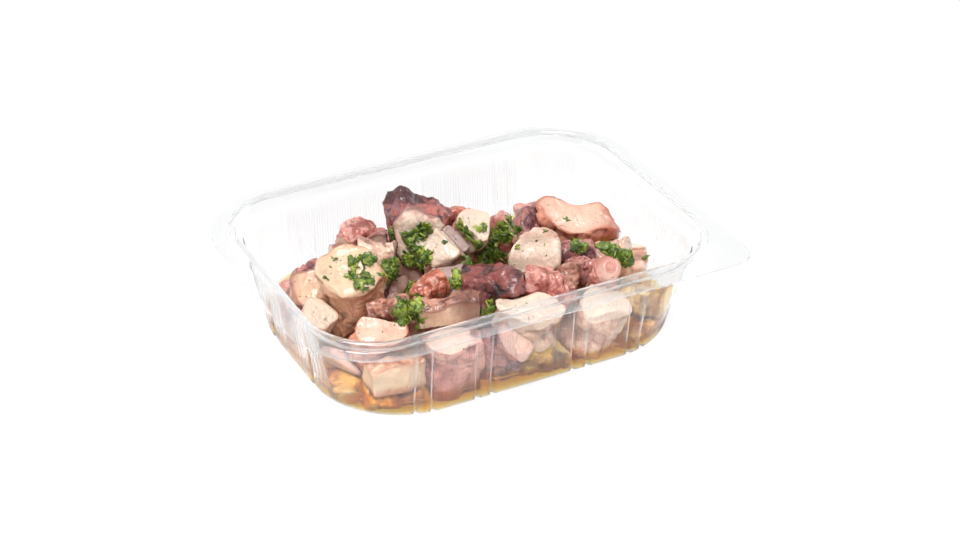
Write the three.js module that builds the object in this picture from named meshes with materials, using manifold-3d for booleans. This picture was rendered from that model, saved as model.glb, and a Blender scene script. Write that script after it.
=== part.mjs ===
// Cooked octopus, cut in chunks and dressed with oil and chopped parsley, in its clear deli tub.
// Millimetres, +Z up, origin at the middle of the tub's base, the tub's long side along X.
import * as THREE from "three";
import { mergeVertices } from "three/addons/utils/BufferGeometryUtils.js";
import Module from "manifold-3d";

const wasm = await Module();
wasm.setup();

// ---- driving dimensions -------------------------------------------------------------------
const bead = { halfLength: 92, halfWidth: 67.2, corner: 31.8 };  // outer line of the raised rim
const rimHeight = 44.5;
const sheet = 0.6;                 // thickness of the clear sheet
const flangeReach = 7.2;           // flange beyond the rim
const earCorner = 11;              // the flange keeps a nearly square ear at +X, -Y
const wallFoot = { reach: -10.6, z: 3.1, corner: 40 };
const footWiden = 3;                // the foot of the long sides stands further out than the ends'
const wallTop = { reach: -6.2, z: 38, corner: 27 };
const floorRadius = wallFoot.z - sheet;  // round between floor and wall
const groove = { depth: 2.2, halfWidth: 1.8, alongLength: [19, 26, 46, 53], alongWidth: [20] };
const wallRoom = 2.5;              // what lies in the tub clears the wall and its grooves
const oilLevel = 7;
const contactGap = 0.3;            // between two pieces that press on each other
const edgeSharpness = 1.9;         // 1/mm, higher gives crisper cut edges
const cutLean = 0.16;              // most that a cut leans off square, as a slope
const splitShare = 0.3;            // a half is split at this share of its half height
const ovalPower = 2.15;            // the higher, the blunter an oval's ends
const bend = 0.065;                // how far a soft piece bends, as a share of its girth
const contactReach = 3.5;          // pieces nearer than this to each other share a contact
const rayShare = 1.8;              // rays are followed this far, as a share of a piece's half diagonal
const rayLimit = 130;              // and this far inside the tub
const oilRoom = 1.9;               // the pockets in the oil clear the pieces in them
const oilInset = 2.8;              // the pool's edge inside the wall
const packedCore = { length: 116, width: 66, corner: 20 };  // pieces lie here with no room for oil
const leastPool = 1000;            // mm3, smaller trapped drops are left out
const bigPiece = 2000;             // mm3, product of the half sizes
const leafThickness = 0.9;
const leafTurn = 137.5;            // degrees from one leaf to the next

// ---- small helpers --------------------------------------------------------------------------
const radians = THREE.MathUtils.degToRad;
const clamp = THREE.MathUtils.clamp;
const lerp = THREE.MathUtils.lerp;

// Signed distance of a point to a rounded rectangle about the origin.
function outlineDistance(x, y, halfLength, halfWidth, corner) {
  const qx = Math.abs(x) - (halfLength - corner);
  const qy = Math.abs(y) - (halfWidth - corner);
  return Math.hypot(Math.max(qx, 0), Math.max(qy, 0)) + Math.min(Math.max(qx, qy), 0) - corner;
}

// Distance along a direction at which a function turns positive.
function reachOf(distance, limit) {
  let low = 0;
  let high = limit;
  for (let step = 0; step < 26; step += 1) {
    const middle = (low + high) / 2;
    if (distance(middle) < 0) low = middle;
    else high = middle;
  }
  return low;
}

function closedGeometry(positions, faces) {
  const geometry = new THREE.BufferGeometry();
  geometry.setAttribute("position", new THREE.Float32BufferAttribute(positions, 3));
  geometry.setIndex(faces);
  return geometry;
}

function toSolid(geometry) {
  const plain = geometry.clone();
  for (const name of Object.keys(plain.attributes)) {
    if (name !== "position") plain.deleteAttribute(name);
  }
  const merged = mergeVertices(plain, 1e-4);
  return new wasm.Manifold(new wasm.Mesh({
    numProp: 3,
    vertProperties: new Float32Array(merged.attributes.position.array),
    triVerts: new Uint32Array(merged.index.array),
  }));
}

function toGeometry(solid) {
  const result = solid.getMesh();
  return closedGeometry(Array.from(result.vertProperties), Array.from(result.triVerts));
}

// ---- the tub ----------------------------------------------------------------------------------
// The sheet's inner line, from the floor out to the flange: reach beyond the rim's outer line,
// height, corner radius and the share of a groove's depth.
const tubProfile = [
  { reach: wallFoot.reach - floorRadius, z: sheet, corner: wallFoot.corner - floorRadius, dent: 0.7 },
  { reach: wallFoot.reach - 1.1, z: sheet + 1, corner: wallFoot.corner - 1.1, dent: 1 },
  { reach: wallFoot.reach, z: wallFoot.z, corner: wallFoot.corner, dent: 1 },
  { reach: wallTop.reach, z: wallTop.z, corner: wallTop.corner, dent: 0.25 },
  { reach: -3.4, z: wallTop.z + 1.1, corner: 29, dent: 0 },
  { reach: -3.1, z: rimHeight - 0.3, corner: 29.4, dent: 0 },
  { reach: 0, z: rimHeight, corner: bead.corner, dent: 0 },
  { reach: 0.7, z: rimHeight - 3.4, corner: 32.5, dent: 0 },
  { reach: flangeReach, z: rimHeight - 3.6, corner: 39, dent: 0, ear: earCorner },
];

function widening(z) {
  return footWiden * (1 - clamp((z - wallFoot.z) / (wallTop.z - wallFoot.z), 0, 1));
}

// Every ring of the tub is sampled along the same rays, so the grooves stand upright.
function tubColumns() {
  const columns = [];
  const cornerAngles = [16, 36, 45, 54, 74];
  const rayCentre = { x: 58, y: 34 };
  const spots = (places, end) => {
    const list = [{ at: -end, dent: 0 }];
    const both = [...places.map((place) => -place).reverse(), ...places];
    for (const place of both) {
      list.push({ at: place - groove.halfWidth, dent: 0 });
      list.push({ at: place, dent: groove.depth });
      list.push({ at: place + groove.halfWidth, dent: 0 });
    }
    list.push({ at: end, dent: 0 });
    return list;
  };
  const long = spots(groove.alongLength, rayCentre.x);
  const short = spots(groove.alongWidth, rayCentre.y);
  const corner = (sx, sy, angles) => {
    for (const angle of angles) {
      const turn = radians(angle);
      const [dx, dy] = [sx * Math.cos(turn), sy * Math.sin(turn)];
      columns.push({ x: sx * rayCentre.x, y: sy * rayCentre.y, dx, dy, dent: 0 });
    }
  };
  for (const spot of short) columns.push({ x: 0, y: spot.at, dx: 1, dy: 0, dent: spot.dent });
  corner(1, 1, cornerAngles);
  for (const spot of long) columns.push({ x: -spot.at, y: 0, dx: 0, dy: 1, dent: spot.dent });
  corner(-1, 1, [...cornerAngles].reverse());
  for (const spot of short) columns.push({ x: 0, y: -spot.at, dx: -1, dy: 0, dent: spot.dent });
  corner(-1, -1, cornerAngles);
  for (const spot of long) columns.push({ x: spot.at, y: 0, dx: 0, dy: -1, dent: spot.dent });
  corner(1, -1, [...cornerAngles].reverse());
  return columns;
}

function tubRing(ring, columns) {
  return columns.map((column) => {
    const earSide = column.x > 0 && column.y < 0;
    const corner = earSide && ring.ear ? ring.ear : ring.corner;
    const reach = reachOf((t) => outlineDistance(column.x + column.dx * t, column.y + column.dy * t,
      bead.halfLength + ring.reach, bead.halfWidth + ring.reach + widening(ring.z), corner), rayLimit);
    const t = reach - column.dent * ring.dent;
    return [column.x + column.dx * t, column.y + column.dy * t, ring.z];
  });
}

// The profile moved by the sheet's thickness, square to its own line.
function outerProfile(profile) {
  return profile.map((ring, index) => {
    const before = profile[Math.max(index - 1, 0)];
    const after = profile[Math.min(index + 1, profile.length - 1)];
    const first = new THREE.Vector2(ring.reach - before.reach, ring.z - before.z);
    const second = new THREE.Vector2(after.reach - ring.reach, after.z - ring.z);
    if (first.length() === 0) first.set(1, 0);
    if (second.length() === 0) second.set(1, 0);
    first.normalize();
    second.normalize();
    const along = first.clone().add(second).normalize();
    const shift = sheet / Math.max(along.dot(first), 0.4);
    return { ...ring, reach: ring.reach + along.y * shift, z: ring.z - along.x * shift };
  });
}

function tub() {
  const columns = tubColumns();
  const rings = [...outerProfile(tubProfile), ...[...tubProfile].reverse()];
  const positions = rings.flatMap((ring) => tubRing(ring, columns)).flat();
  const count = columns.length;
  const faces = [];
  for (let r = 0; r + 1 < rings.length; r += 1) {
    for (let c = 0; c < count; c += 1) {
      const a = r * count + c;
      const b = r * count + ((c + 1) % count);
      faces.push(a, b, b + count, a, b + count, a + count);
    }
  }
  const under = positions.length / 3;
  positions.push(0, 0, 0, 0, 0, sheet);
  for (let c = 0; c < count; c += 1) {
    const next = (c + 1) % count;
    const top = (rings.length - 1) * count;
    faces.push(under, next, c, under + 1, top + c, top + next);
  }
  return closedGeometry(positions, faces);
}

// ---- the room inside the tub ------------------------------------------------------------------
function wallDistance(point) {
  const share = clamp((point.z - wallFoot.z) / (wallTop.z - wallFoot.z), 0, 1);
  const below = clamp(wallFoot.z - point.z, 0, floorRadius);
  const inset = floorRadius - Math.sqrt(Math.max(floorRadius ** 2 - below ** 2, 0));
  const reach = lerp(wallFoot.reach, wallTop.reach, share) - inset;
  const corner = Math.max(lerp(wallFoot.corner, wallTop.corner, share) - inset, 1);
  const halfWidth = bead.halfWidth + reach + widening(point.z);
  return outlineDistance(point.x, point.y, bead.halfLength + reach, halfWidth, corner);
}

// ---- octopus pieces ---------------------------------------------------------------------------
// kind, middle x y z, length width height, yaw pitch roll. An arm piece is cut off at both ends,
// a half is also split along its length, an oval is split and round-ended, a slab is a flat strip,
// a tip tapers to a round end.
const skins = {
  beige: 0xdcb79c, red: 0xb8655e, purple: 0x6e4150, peach: 0xe0a284, white: 0xe8d5c0, grey: 0xbdb6b4,
  pink: 0xcc8680, brown: 0xa36a50, dark: 0x5c323c, mauve: 0xa4687a, amber: 0xc69462,
};
const pieceTable = {
  chunkLeft: ["arm", -57, -3, 29, 34, 30, 28, -104, 68, 0, "beige"],
  bumpyBack: ["arm", -35.5, 33, 29.5, 15, 15, 19, 20, 10, 0, "red"],
  peak: ["arm", -16, 12.5, 43, 19, 30, 32, -120, 10, 0, "purple"],
  peakRight: ["arm", -2, 18, 37, 20, 15, 18, -32, -8, 0, "peach"],
  whiteSpeck: ["arm", -13, -5, 38, 22, 19, 21, -125, 44, 0, "white"],
  greySlice: ["slab", -8.5, -3, 42, 14, 9, 3, -55, -37, 30, "grey"],
  paleChunk: ["arm", 0, 1, 40, 21, 22, 18, -70, 58, 0, "white"],
  pinkChunk: ["arm", 14, 3, 33, 20, 17, 19, -30, 24, 0, "pink"],
  purpleWhite: ["arm", 34, 8, 29, 17, 15, 16, 50, 10, 0, "mauve"],
  bigSlab: ["oval", 54.5, 2, 31.4, 42, 18, 25, -24, -12, -160, "peach"],
  creamChunk: ["arm", 25, -19, 33.3, 28, 29, 20, -118, 26, 0, "white"],
  darkSkin: ["arm", -5, -31, 30.5, 38, 26, 25, -32, -3, 0, "dark"],
  pinkFold: ["arm", 13, -40, 32, 21, 17, 17, -30, -8, 0, "pink"],
  amberPiece: ["arm", 26, -38, 29, 18, 14, 16, 60, 50, 0, "brown"],
  mauveBumpy: ["tip", 40, -32, 28, 21, 16, 20, -60, 30, 0, "mauve"],
  suckerRing: ["arm", 42, -43.5, 30.5, 14, 13, 12, -80, 55, 0, "pink"],
  smallRight: ["arm", 75, -11, 10.5, 19, 15, 14, 60, 60, 0, "white"],
  redTip: ["tip", -30, -22, 32, 20, 17, 22, -150, 10, 0, "peach"],
  beigeEdge: ["half", -31, -42, 33, 25, 15, 18, -25, 5, -80, "brown"],
  mauveWhite: ["arm", -50, -26, 29.5, 17, 13, 14, -20, 12, 0, "brown"],
  whiteDome: ["arm", 2, -47, 23, 28, 27, 26, -112, 58, 0, "white"],
  smallWhite: ["arm", -38, 9, 33, 15, 14, 21, -30, 0, 0, "white"],
  blueWhite: ["slab", -16, -20, 31, 19, 15, 19, -30, 8, 8, "grey"],
  mauveArm: ["arm", 41.5, -21, 28, 26, 16, 15, -18, 0, 0, "mauve"],
  smallMauve: ["arm", -61, 30, 21, 12, 11, 12, 10, 10, 0, "mauve"],
  darkKnob: ["tip", -30, 25, 32, 15, 13, 21, 60, 10, 0, "purple"],
  beigeOrange: ["arm", -68, 17, 22, 17, 15, 15, -110, 40, 0, "brown"],
  whiteLeft: ["arm", -74, -6, 20, 24, 15, 17, -95, 62, 0, "white"],
  domeLeft: ["arm", -57, -31, 20, 24, 23, 19, -110, 68, 0, "peach"],
  slabFront: ["half", -54.5, -47, 14, 27, 13, 20, -2, 0, -84, "beige"],
  pinkFront: ["arm", -33, -46, 15, 34, 31, 24, -95, 74, 0, "pink"],
  mauveFront: ["arm", -10, -48, 11, 28, 18, 22, -60, 50, 0, "mauve"],
  yellowFront: ["arm", 6, -50, 7, 24, 17, 14, -5, 0, 0, "amber"],
  whiteFront: ["arm", 35, -47, 13, 32, 27, 25, -70, 58, 0, "white"],
  brownLeft: ["arm", -73, 20, 8, 23, 18, 17, 70, 5, 0, "brown"],
  lowLeft: ["arm", -58, -15, 9, 30, 24, 19, 20, 0, 0, "mauve"],
  innerA: ["arm", -31, -16, 12, 27, 24, 27, 80, 0, 0, "pink"],
  innerB: ["arm", -6, -13, 12, 28, 24, 27, -20, 0, 0, "mauve"],
  innerC: ["arm", 17, -19, 12, 28, 24, 25, 50, 0, 0, "purple"],
  lowRight: ["arm", 46, -20, 10, 32, 24, 23, -10, 0, 0, "pink"],
  innerD: ["arm", -40, 12, 12, 30, 26, 27, -40, 0, 0, "mauve"],
  innerE: ["arm", -12, 14, 13, 30, 26, 28, 15, 0, 0, "pink"],
  innerF: ["arm", 16, 12, 13, 28, 26, 28, -60, 0, 0, "brown"],
  lowBack: ["arm", 46, 8, 11, 30, 26, 24, 30, 0, 0, "mauve"],
  backA: ["arm", -56, 41, 7, 28, 22, 14, 30, 0, 0, "pink"],
  backB: ["arm", -31, 41, 12, 27, 24, 26, -10, 0, 0, "purple"],
  backC: ["arm", -4, 43, 10, 27, 22, 22, 15, 0, 0, "beige"],
  backD: ["arm", 22, 41, 10, 27, 22, 22, -25, 0, 0, "mauve"],
  backE: ["arm", 49, 36, 9, 28, 22, 20, 35, 0, 0, "pink"],
  lowCorner: ["arm", -56, -43, 4, 27, 20, 7.4, -4, 0, 0, "amber"],
  tanCorner: ["arm", 66, -37.5, 8, 26, 19, 15, -50, 12, 0, "amber"],
  whiteRight: ["arm", 57, -23, 27, 18, 14, 14, -30, 8, 0, "white"],
  lowEnd: ["arm", -71.5, -28, 4, 24, 16, 7.4, 70, 0, 0, "amber"],
  lowTan: ["arm", 57, -48.5, 4, 26, 12, 7.4, 26, 0, 0, "amber"],
};

// Slopes that a piece's skin has beside its round: direction in the piece's own frame, depth.
const slopeTable = {
  peak: [[0.6, 0, 0.8, 13.8], [0, 0.3, 0.95, 10.6]],
  darkSkin: [[0.3, 0.75, 0.6, 10.5]],
};

// A number from 0 to 1 that differs from piece to piece, for uneven shapes.
function chance(index, salt) {
  const value = index * 0.618034 * (salt + 1) + 0.37 * salt;
  return value - Math.floor(value);
}

function turnOf(yaw, pitch, roll) {
  const about = (axis, angle) => new THREE.Quaternion().setFromAxisAngle(axis, radians(angle));
  return about(new THREE.Vector3(0, 0, 1), yaw)
    .multiply(about(new THREE.Vector3(0, -1, 0), pitch))
    .multiply(about(new THREE.Vector3(1, 0, 0), roll));
}

function makePiece([name, row], order) {
  const [kind, x, y, z, length, width, height, yaw, pitch, roll, skin] = row;
  const index = order + 1;
  const half = new THREE.Vector3(length, width, height).multiplyScalar(0.5);
  const lean = (salt) => cutLean * (2 * chance(index, salt) - 1);
  const ends = { tip: [-1], oval: [] }[kind] ?? [1, -1];
  const cuts = ends.map((side) => ({
    normal: new THREE.Vector3(side, lean(1 + side), lean(4 + side)).normalize(),
    depth: half.x,
  }));
  if (kind === "half" || kind === "oval") {
    cuts.push({ normal: new THREE.Vector3(0, lean(6), -1), depth: splitShare * half.z });
  }
  const slopes = (slopeTable[name] ?? []).map(([nx, ny, nz, depth]) => ({
    normal: new THREE.Vector3(nx, ny, nz), depth,
  }));
  const turn = turnOf(yaw, pitch, roll);
  return {
    name, kind, index, half, cuts, slopes, skin, turn,
    back: turn.clone().invert(), centre: new THREE.Vector3(x, y, z), contacts: [],
  };
}

// How far a piece reaches from its middle in a direction, before anything presses on it.
function support(piece, direction) {
  const { x: hx, y: ry, z: rz } = piece.half;
  const local = direction.clone().applyQuaternion(piece.back);
  let round = Math.hypot(ry * local.y, rz * local.z);
  const splitDepth = splitShare * rz;
  const isSplit = piece.kind === "half" || piece.kind === "oval";
  if (isSplit && local.z < 0 && round > 0 && (rz * rz * -local.z) / round > splitDepth) {
    round = splitDepth * -local.z + ry * Math.sqrt(1 - splitShare ** 2) * Math.abs(local.y);
  }
  if (piece.kind === "tip" && local.x > 0) return Math.hypot(hx * local.x, round);
  if (piece.kind === "oval") {
    const power = ovalPower / (ovalPower - 1);
    return (Math.abs(hx * local.x) ** power + round ** power) ** (1 / power);
  }
  return hx * Math.abs(local.x) + round;
}

// A point in the piece's own frame, with the bends of a soft piece taken out.
function ownFrame(piece, point) {
  const { x, y, z } = point.clone().sub(piece.centre).applyQuaternion(piece.back);
  const most = 2 * bend * Math.min(piece.half.y, piece.half.z);
  const wave = (salt, turn) => most * Math.sin(turn + 2 * Math.PI * chance(piece.index, salt));
  return new THREE.Vector3(
    x + 0.7 * wave(10, 0.31 * y) + 0.4 * wave(11, 0.52 * z),
    y + wave(12, 0.26 * x) + 0.5 * wave(13, 0.45 * z + 0.2 * x),
    z + wave(14, 0.24 * x) + 0.5 * wave(15, 0.47 * y - 0.2 * x),
  );
}

// The uneven skin: distance outside an oval tube whose girth swells and shrinks a little. A tip
// narrows from its cut to a round end and an oval is round at both.
function skinDistance(piece, local) {
  const { x: hx, y: ry, z: rz } = piece.half;
  const along = local.x / hx;
  const phase = (salt) => 2 * Math.PI * chance(piece.index, salt);
  const power = piece.kind === "slab" ? 3.6 : 2.2;
  const tip = piece.kind === "tip";
  const narrow = tip ? 0.28 * (along + 1) : 0.1 * (chance(piece.index, 9) - 0.3) * along;
  const taper = Math.max(1 - narrow, 0.15);
  const around = Math.atan2(local.z / rz, local.y / ry);
  const section = (Math.abs(local.y / ry) ** power + Math.abs(local.z / rz) ** power) ** (1 / power);
  const swell = 0.97 + 0.035 * Math.sin(2 * around + phase(0) + 0.8 * along)
    + 0.045 * Math.sin(3 * around + phase(1) + 1.5 * along) + 0.04 * Math.sin(3.1 * along + phase(2));
  const bounds = [(section - taper * swell) * Math.min(ry, rz)];
  if (piece.kind === "oval") {
    const reach = (section ** ovalPower + Math.abs(along) ** ovalPower) ** (1 / ovalPower);
    bounds[0] = (reach - swell) * Math.min(ry, rz);
  }
  if (tip) {
    bounds.push((Math.hypot(Math.max(along, 0), (0.9 * section) / taper) - 1) * Math.min(hx, ry, rz));
  }
  for (const slope of piece.slopes) bounds.push(local.dot(slope.normal) - slope.depth);
  return Math.max(...bounds);
}

// Negative inside a piece. Its skin, its cuts, what presses on it and the tub all bound it.
function pieceValue(piece, point, grow = 0) {
  const local = ownFrame(piece, point);
  const bounds = [skinDistance(piece, local)];
  for (const cut of piece.cuts) bounds.push(local.dot(cut.normal) - cut.depth);
  for (const contact of piece.contacts) bounds.push(point.dot(contact.normal) - contact.depth);
  bounds.push(wallDistance(point) + wallRoom, sheet + contactGap - point.z);
  const most = Math.max(...bounds);
  const sum = bounds.reduce((total, bound) => total + Math.exp(edgeSharpness * (bound - most)), 0);
  return most - grow + Math.log(sum) / edgeSharpness;
}

// Two pieces that would run into each other share one flat contact. Of some tilted planes the
// one that takes the least from both is used.
function pressTogether(first, second) {
  const between = second.centre.clone().sub(first.centre);
  const straight = between.clone().normalize();
  let best = null;
  for (let trial = 0; trial < 60; trial += 1) {
    const sway = new THREE.Vector3(Math.sin(trial * 2.4), Math.cos(trial * 2.4), Math.sin(trial * 1.7));
    const normal = straight.clone().addScaledVector(sway, (0.9 * trial) / 60).normalize();
    const apart = between.dot(normal);
    if (apart <= 0) continue;
    const near = support(first, normal);
    const far = support(second, normal.clone().negate());
    const overlap = near + far - apart;
    if (best === null || overlap < best.overlap) best = { overlap, normal, apart, near, far };
  }
  if (best.overlap <= -contactReach) return;
  const depth = first.centre.dot(best.normal) + (best.apart * best.near) / (best.near + best.far);
  first.contacts.push({ normal: best.normal, depth: depth - contactGap / 2 });
  second.contacts.push({ normal: best.normal.clone().negate(), depth: -depth - contactGap / 2 });
}

// Where a ray from a piece's middle, in the piece's own frame, meets its surface.
function surfacePoint(piece, direction, grow = 0) {
  const ray = direction.clone().normalize().applyQuaternion(piece.turn);
  const at = (t) => piece.centre.clone().addScaledVector(ray, t);
  return at(reachOf((t) => pieceValue(piece, at(t), grow), rayShare * piece.half.length()));
}

// The surface is found along rays through the points of a gridded box of the piece's own size.
function pieceGeometry(piece, divisions, grow = 0) {
  const [length, width, height] = piece.half.clone().multiplyScalar(2).toArray();
  const box = new THREE.BoxGeometry(length, width, height, divisions, divisions, divisions);
  box.deleteAttribute("normal");
  box.deleteAttribute("uv");
  const grid = mergeVertices(box, 1e-3);
  const spots = grid.attributes.position;
  for (let v = 0; v < spots.count; v += 1) {
    const point = surfacePoint(piece, new THREE.Vector3().fromBufferAttribute(spots, v), grow);
    spots.setXYZ(v, point.x, point.y, point.z);
  }
  return grid;
}

// Pieces that lie deep in the heap are coarse, big ones on top are fine.
function divisionsOf(piece) {
  if (piece.name.startsWith("inner")) return 2;
  const big = piece.half.x * piece.half.y * piece.half.z > bigPiece;
  return big && !piece.name.startsWith("low") ? 4 : 3;
}

const pieces = Object.entries(pieceTable).map(makePiece);
pieces.forEach((first, i) => pieces.slice(i + 1).forEach((second) => pressTogether(first, second)));

// ---- what lies on the pieces --------------------------------------------------------------------
function slopeAt(piece, point) {
  const step = 0.3;
  const along = (x, y, z) => pieceValue(piece, point.clone().add(new THREE.Vector3(x, y, z)))
    - pieceValue(piece, point.clone().sub(new THREE.Vector3(x, y, z)));
  return new THREE.Vector3(along(step, 0, 0), along(0, step, 0), along(0, 0, step)).normalize();
}

// The piece nearest to a place, and the spot on its skin.
function nearestSkin(place) {
  const nearest = (best, each) => (pieceValue(each, place) < pieceValue(best, place) ? each : best);
  const piece = pieces.reduce(nearest);
  const point = place.clone();
  for (let step = 0; step < 8; step += 1) {
    point.addScaledVector(slopeAt(piece, point), -pieceValue(piece, point));
  }
  return { piece, point };
}

// A chopped parsley leaf: three lobes, thin and curled down over what it lies on. It lies on the
// skin nearest to x, y, z, and its size follows. The leaves lie in heaps, one heap to a line.
const leafTable = [
  [-55, -8, 48, 8], [-59, -18, 43, 8],
  [-36, -1, 34, 11], [-38, 0, 31, 8], [-34, -11, 33, 9], [-38, -18, 33, 9],
  [-45, -32, 38, 7], [-47, -35, 34, 9], [-43, -39, 38, 8],
  [-23, 2, 34, 12], [-25, -10, 41, 8],
  [14, -4, 41, 9], [12, -4, 38, 8], [10, -3, 30, 9],
  [-3, -12, 33, 9], [-10, -19, 38, 8],
  [55, -25, 33, 8], [56, -31, 31, 8], [59, -33, 30, 9], [57, -43, 33, 10],
];

function leafGeometry(point, normal, size, turn) {
  const side = new THREE.Vector3(Math.cos(turn), Math.sin(turn), 0);
  const across = side.sub(normal.clone().multiplyScalar(side.dot(normal))).normalize();
  const along = normal.clone().cross(across);
  const rim = 8;
  const positions = [];
  for (const face of [1, -1]) {
    for (let k = 0; k <= rim; k += 1) {
      const angle = (2 * Math.PI * k) / rim;
      const reach = k === rim ? 0 : (size / 2) * (0.82 + 0.3 * Math.cos(3 * angle));
      const drop = reach ** 2 / 28 + (k === rim ? 0 : 0.25 * Math.sin(2 * angle + turn));
      const spot = point.clone().addScaledVector(across, reach * Math.cos(angle))
        .addScaledVector(along, reach * Math.sin(angle))
        .addScaledVector(normal, (face * leafThickness) / 2 - drop);
      positions.push(...spot.toArray());
    }
  }
  const faces = [];
  for (let k = 0; k < rim; k += 1) {
    const next = (k + 1) % rim;
    const low = rim + 1;
    faces.push(rim, k, next, low + rim, low + next, low + k);
    faces.push(k, low + k, next, next, low + k, low + next);
  }
  return closedGeometry(positions, faces);
}

// A sucker: a raised ring with a hollow middle. Piece, direction in the piece's own frame, radius.
const suckerTable = [
  ["suckerRing", 1, 0.1, 0.25, 2.9], ["bumpyBack", -0.35, -1, 0.3, 2.8], ["bumpyBack", 0.35, -1, 0.45, 2.4],
  ["mauveBumpy", 0.1, 0.5, 1, 2.6],
  ["bigSlab", 0.62, 1, -0.1, 2.8], ["mauveFront", -0.1, -1, 0.2, 3.2], ["mauveArm", 0.3, -0.3, 1, 2.6],
];

function suckerGeometry(piece, direction, radius) {
  const point = surfacePoint(piece, direction);
  const outline = [[0, -1.4], [0.8, -1.4], [1, 0.35], [0.62, 0.9], [0.36, 0.1], [0, -0.1]]
    .map(([across, up]) => new THREE.Vector2(across * radius, up));
  const ring = new THREE.LatheGeometry(outline, 8);
  ring.rotateX(Math.PI / 2);
  const normal = slopeAt(piece, point);
  ring.applyQuaternion(new THREE.Quaternion().setFromUnitVectors(new THREE.Vector3(0, 0, 1), normal));
  ring.translate(point.x, point.y, point.z);
  return ring;
}

// True when every corner of a small thing clears the other pieces and the wall.
function isClear(geometry, host) {
  const spots = geometry.attributes.position;
  for (let v = 0; v < spots.count; v += 1) {
    const spot = new THREE.Vector3().fromBufferAttribute(spots, v);
    if (wallDistance(spot) > -wallRoom / 2) return false;
    for (const other of pieces) {
      if (other !== host && pieceValue(other, spot) < contactGap) return false;
    }
  }
  return true;
}

function smallThings() {
  const things = new Map(pieces.map((piece) => [piece.name, []]));
  for (const [name, x, y, z, radius] of suckerTable) {
    const host = pieces.find((piece) => piece.name === name);
    const ring = suckerGeometry(host, new THREE.Vector3(x, y, z), radius);
    if (isClear(ring, host)) things.get(name).push(ring);
  }
  leafTable.forEach(([x, y, z, size], order) => {
    const host = nearestSkin(new THREE.Vector3(x, y, z));
    const normal = slopeAt(host.piece, host.point);
    const leaves = [1, 0.8, 0.62].map((scale) => leafGeometry(host.point, normal, size * scale,
      radians(leafTurn * order)));
    const leaf = leaves.find((each) => isClear(each, host.piece));
    if (leaf) things.get(host.piece.name).push(leaf);
  });
  return things;
}

function largestBody(solid) {
  const bodies = solid.decompose();
  return bodies.reduce((most, body) => (body.volume() > most.volume() ? body : most));
}

function roundedPlate(length, width, corner, height) {
  const outline = new THREE.Shape();
  const x = length / 2 - corner;
  const y = width / 2 - corner;
  outline.absarc(x, y, corner, 0, Math.PI / 2);
  outline.absarc(-x, y, corner, Math.PI / 2, Math.PI);
  outline.absarc(-x, -y, corner, Math.PI, 1.5 * Math.PI);
  outline.absarc(x, -y, corner, 1.5 * Math.PI, 2 * Math.PI);
  outline.closePath();
  return new THREE.ExtrudeGeometry(outline, { depth: height, bevelEnabled: false, curveSegments: 3 });
}

// ---- the oil ------------------------------------------------------------------------------------
// The pieces part the oil into a few pools along the wall.
function oilPools() {
  const turns = 32;
  const heights = [sheet + contactGap, sheet + 1.5, wallFoot.z, oilLevel];
  const positions = [];
  for (const z of heights) {
    for (let k = 0; k < turns; k += 1) {
      const angle = (2 * Math.PI * k) / turns;
      const ray = new THREE.Vector2(Math.cos(angle), Math.sin(angle));
      ray.multiply(new THREE.Vector2(bead.halfLength, bead.halfWidth)).normalize();
      const reach = reachOf((t) => wallDistance({ x: ray.x * t, y: ray.y * t, z }) + oilInset, rayLimit);
      positions.push(ray.x * reach, ray.y * reach, z);
    }
  }
  const faces = [];
  for (let r = 0; r + 1 < heights.length; r += 1) {
    for (let k = 0; k < turns; k += 1) {
      const a = r * turns + k;
      const b = r * turns + ((k + 1) % turns);
      faces.push(a, b, b + turns, a, b + turns, a + turns);
    }
  }
  const low = positions.length / 3;
  positions.push(0, 0, heights[0], 0, 0, oilLevel);
  for (let k = 0; k < turns; k += 1) {
    const next = (k + 1) % turns;
    const top = (heights.length - 1) * turns;
    faces.push(low, next, k, low + 1, top + k, top + next);
  }
  const core = roundedPlate(packedCore.length, packedCore.width, packedCore.corner, 2 * oilLevel);
  let pool = toSolid(closedGeometry(positions, faces)).subtract(toSolid(core));
  for (const piece of pieces) {
    const cutter = pieceGeometry(piece, Math.max(divisionsOf(piece), 3), oilRoom);
    cutter.computeBoundingBox();
    if (cutter.boundingBox.min.z > oilLevel) continue;
    pool = pool.subtract(toSolid(cutter));
  }
  return pool.decompose()
    .filter((body) => body.volume() > leastPool)
    .sort((first, second) => second.volume() - first.volume())
    .map(toGeometry);
}

// ---- materials and the finished model --------------------------------------------------------------
function named(name, geometry, colour, roughness) {
  const material = new THREE.MeshStandardMaterial({ color: colour, roughness, metalness: 0 });
  const mesh = new THREE.Mesh(geometry, material);
  mesh.name = name;
  return mesh;
}

const model = new THREE.Group();
model.add(named("tub", tub(), 0xf2f5f5, 0.08));
oilPools().forEach((pool, order) => model.add(named(`oil_${order + 1}`, pool, 0xc79a2b, 0.05)));
const things = smallThings();
for (const piece of pieces) {
  let geometry = pieceGeometry(piece, divisionsOf(piece));
  const added = things.get(piece.name);
  if (added.length > 0) {
    const joined = added.reduce((solid, thing) => solid.add(toSolid(thing)), toSolid(geometry));
    geometry = toGeometry(largestBody(joined));
  }
  model.add(named(`octopus_${piece.name}`, geometry, skins[piece.skin], 0.35));
}

export default model;
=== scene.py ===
# Cooked octopus cut in chunks, with oil and chopped parsley, in its clear tub.
# Sizes in the dictionaries and tables are millimetres; meshes are made in metres.
import math
import random

import bpy
import numpy as np
from mathutils import Matrix, Vector
from mathutils.bvhtree import BVHTree


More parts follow.
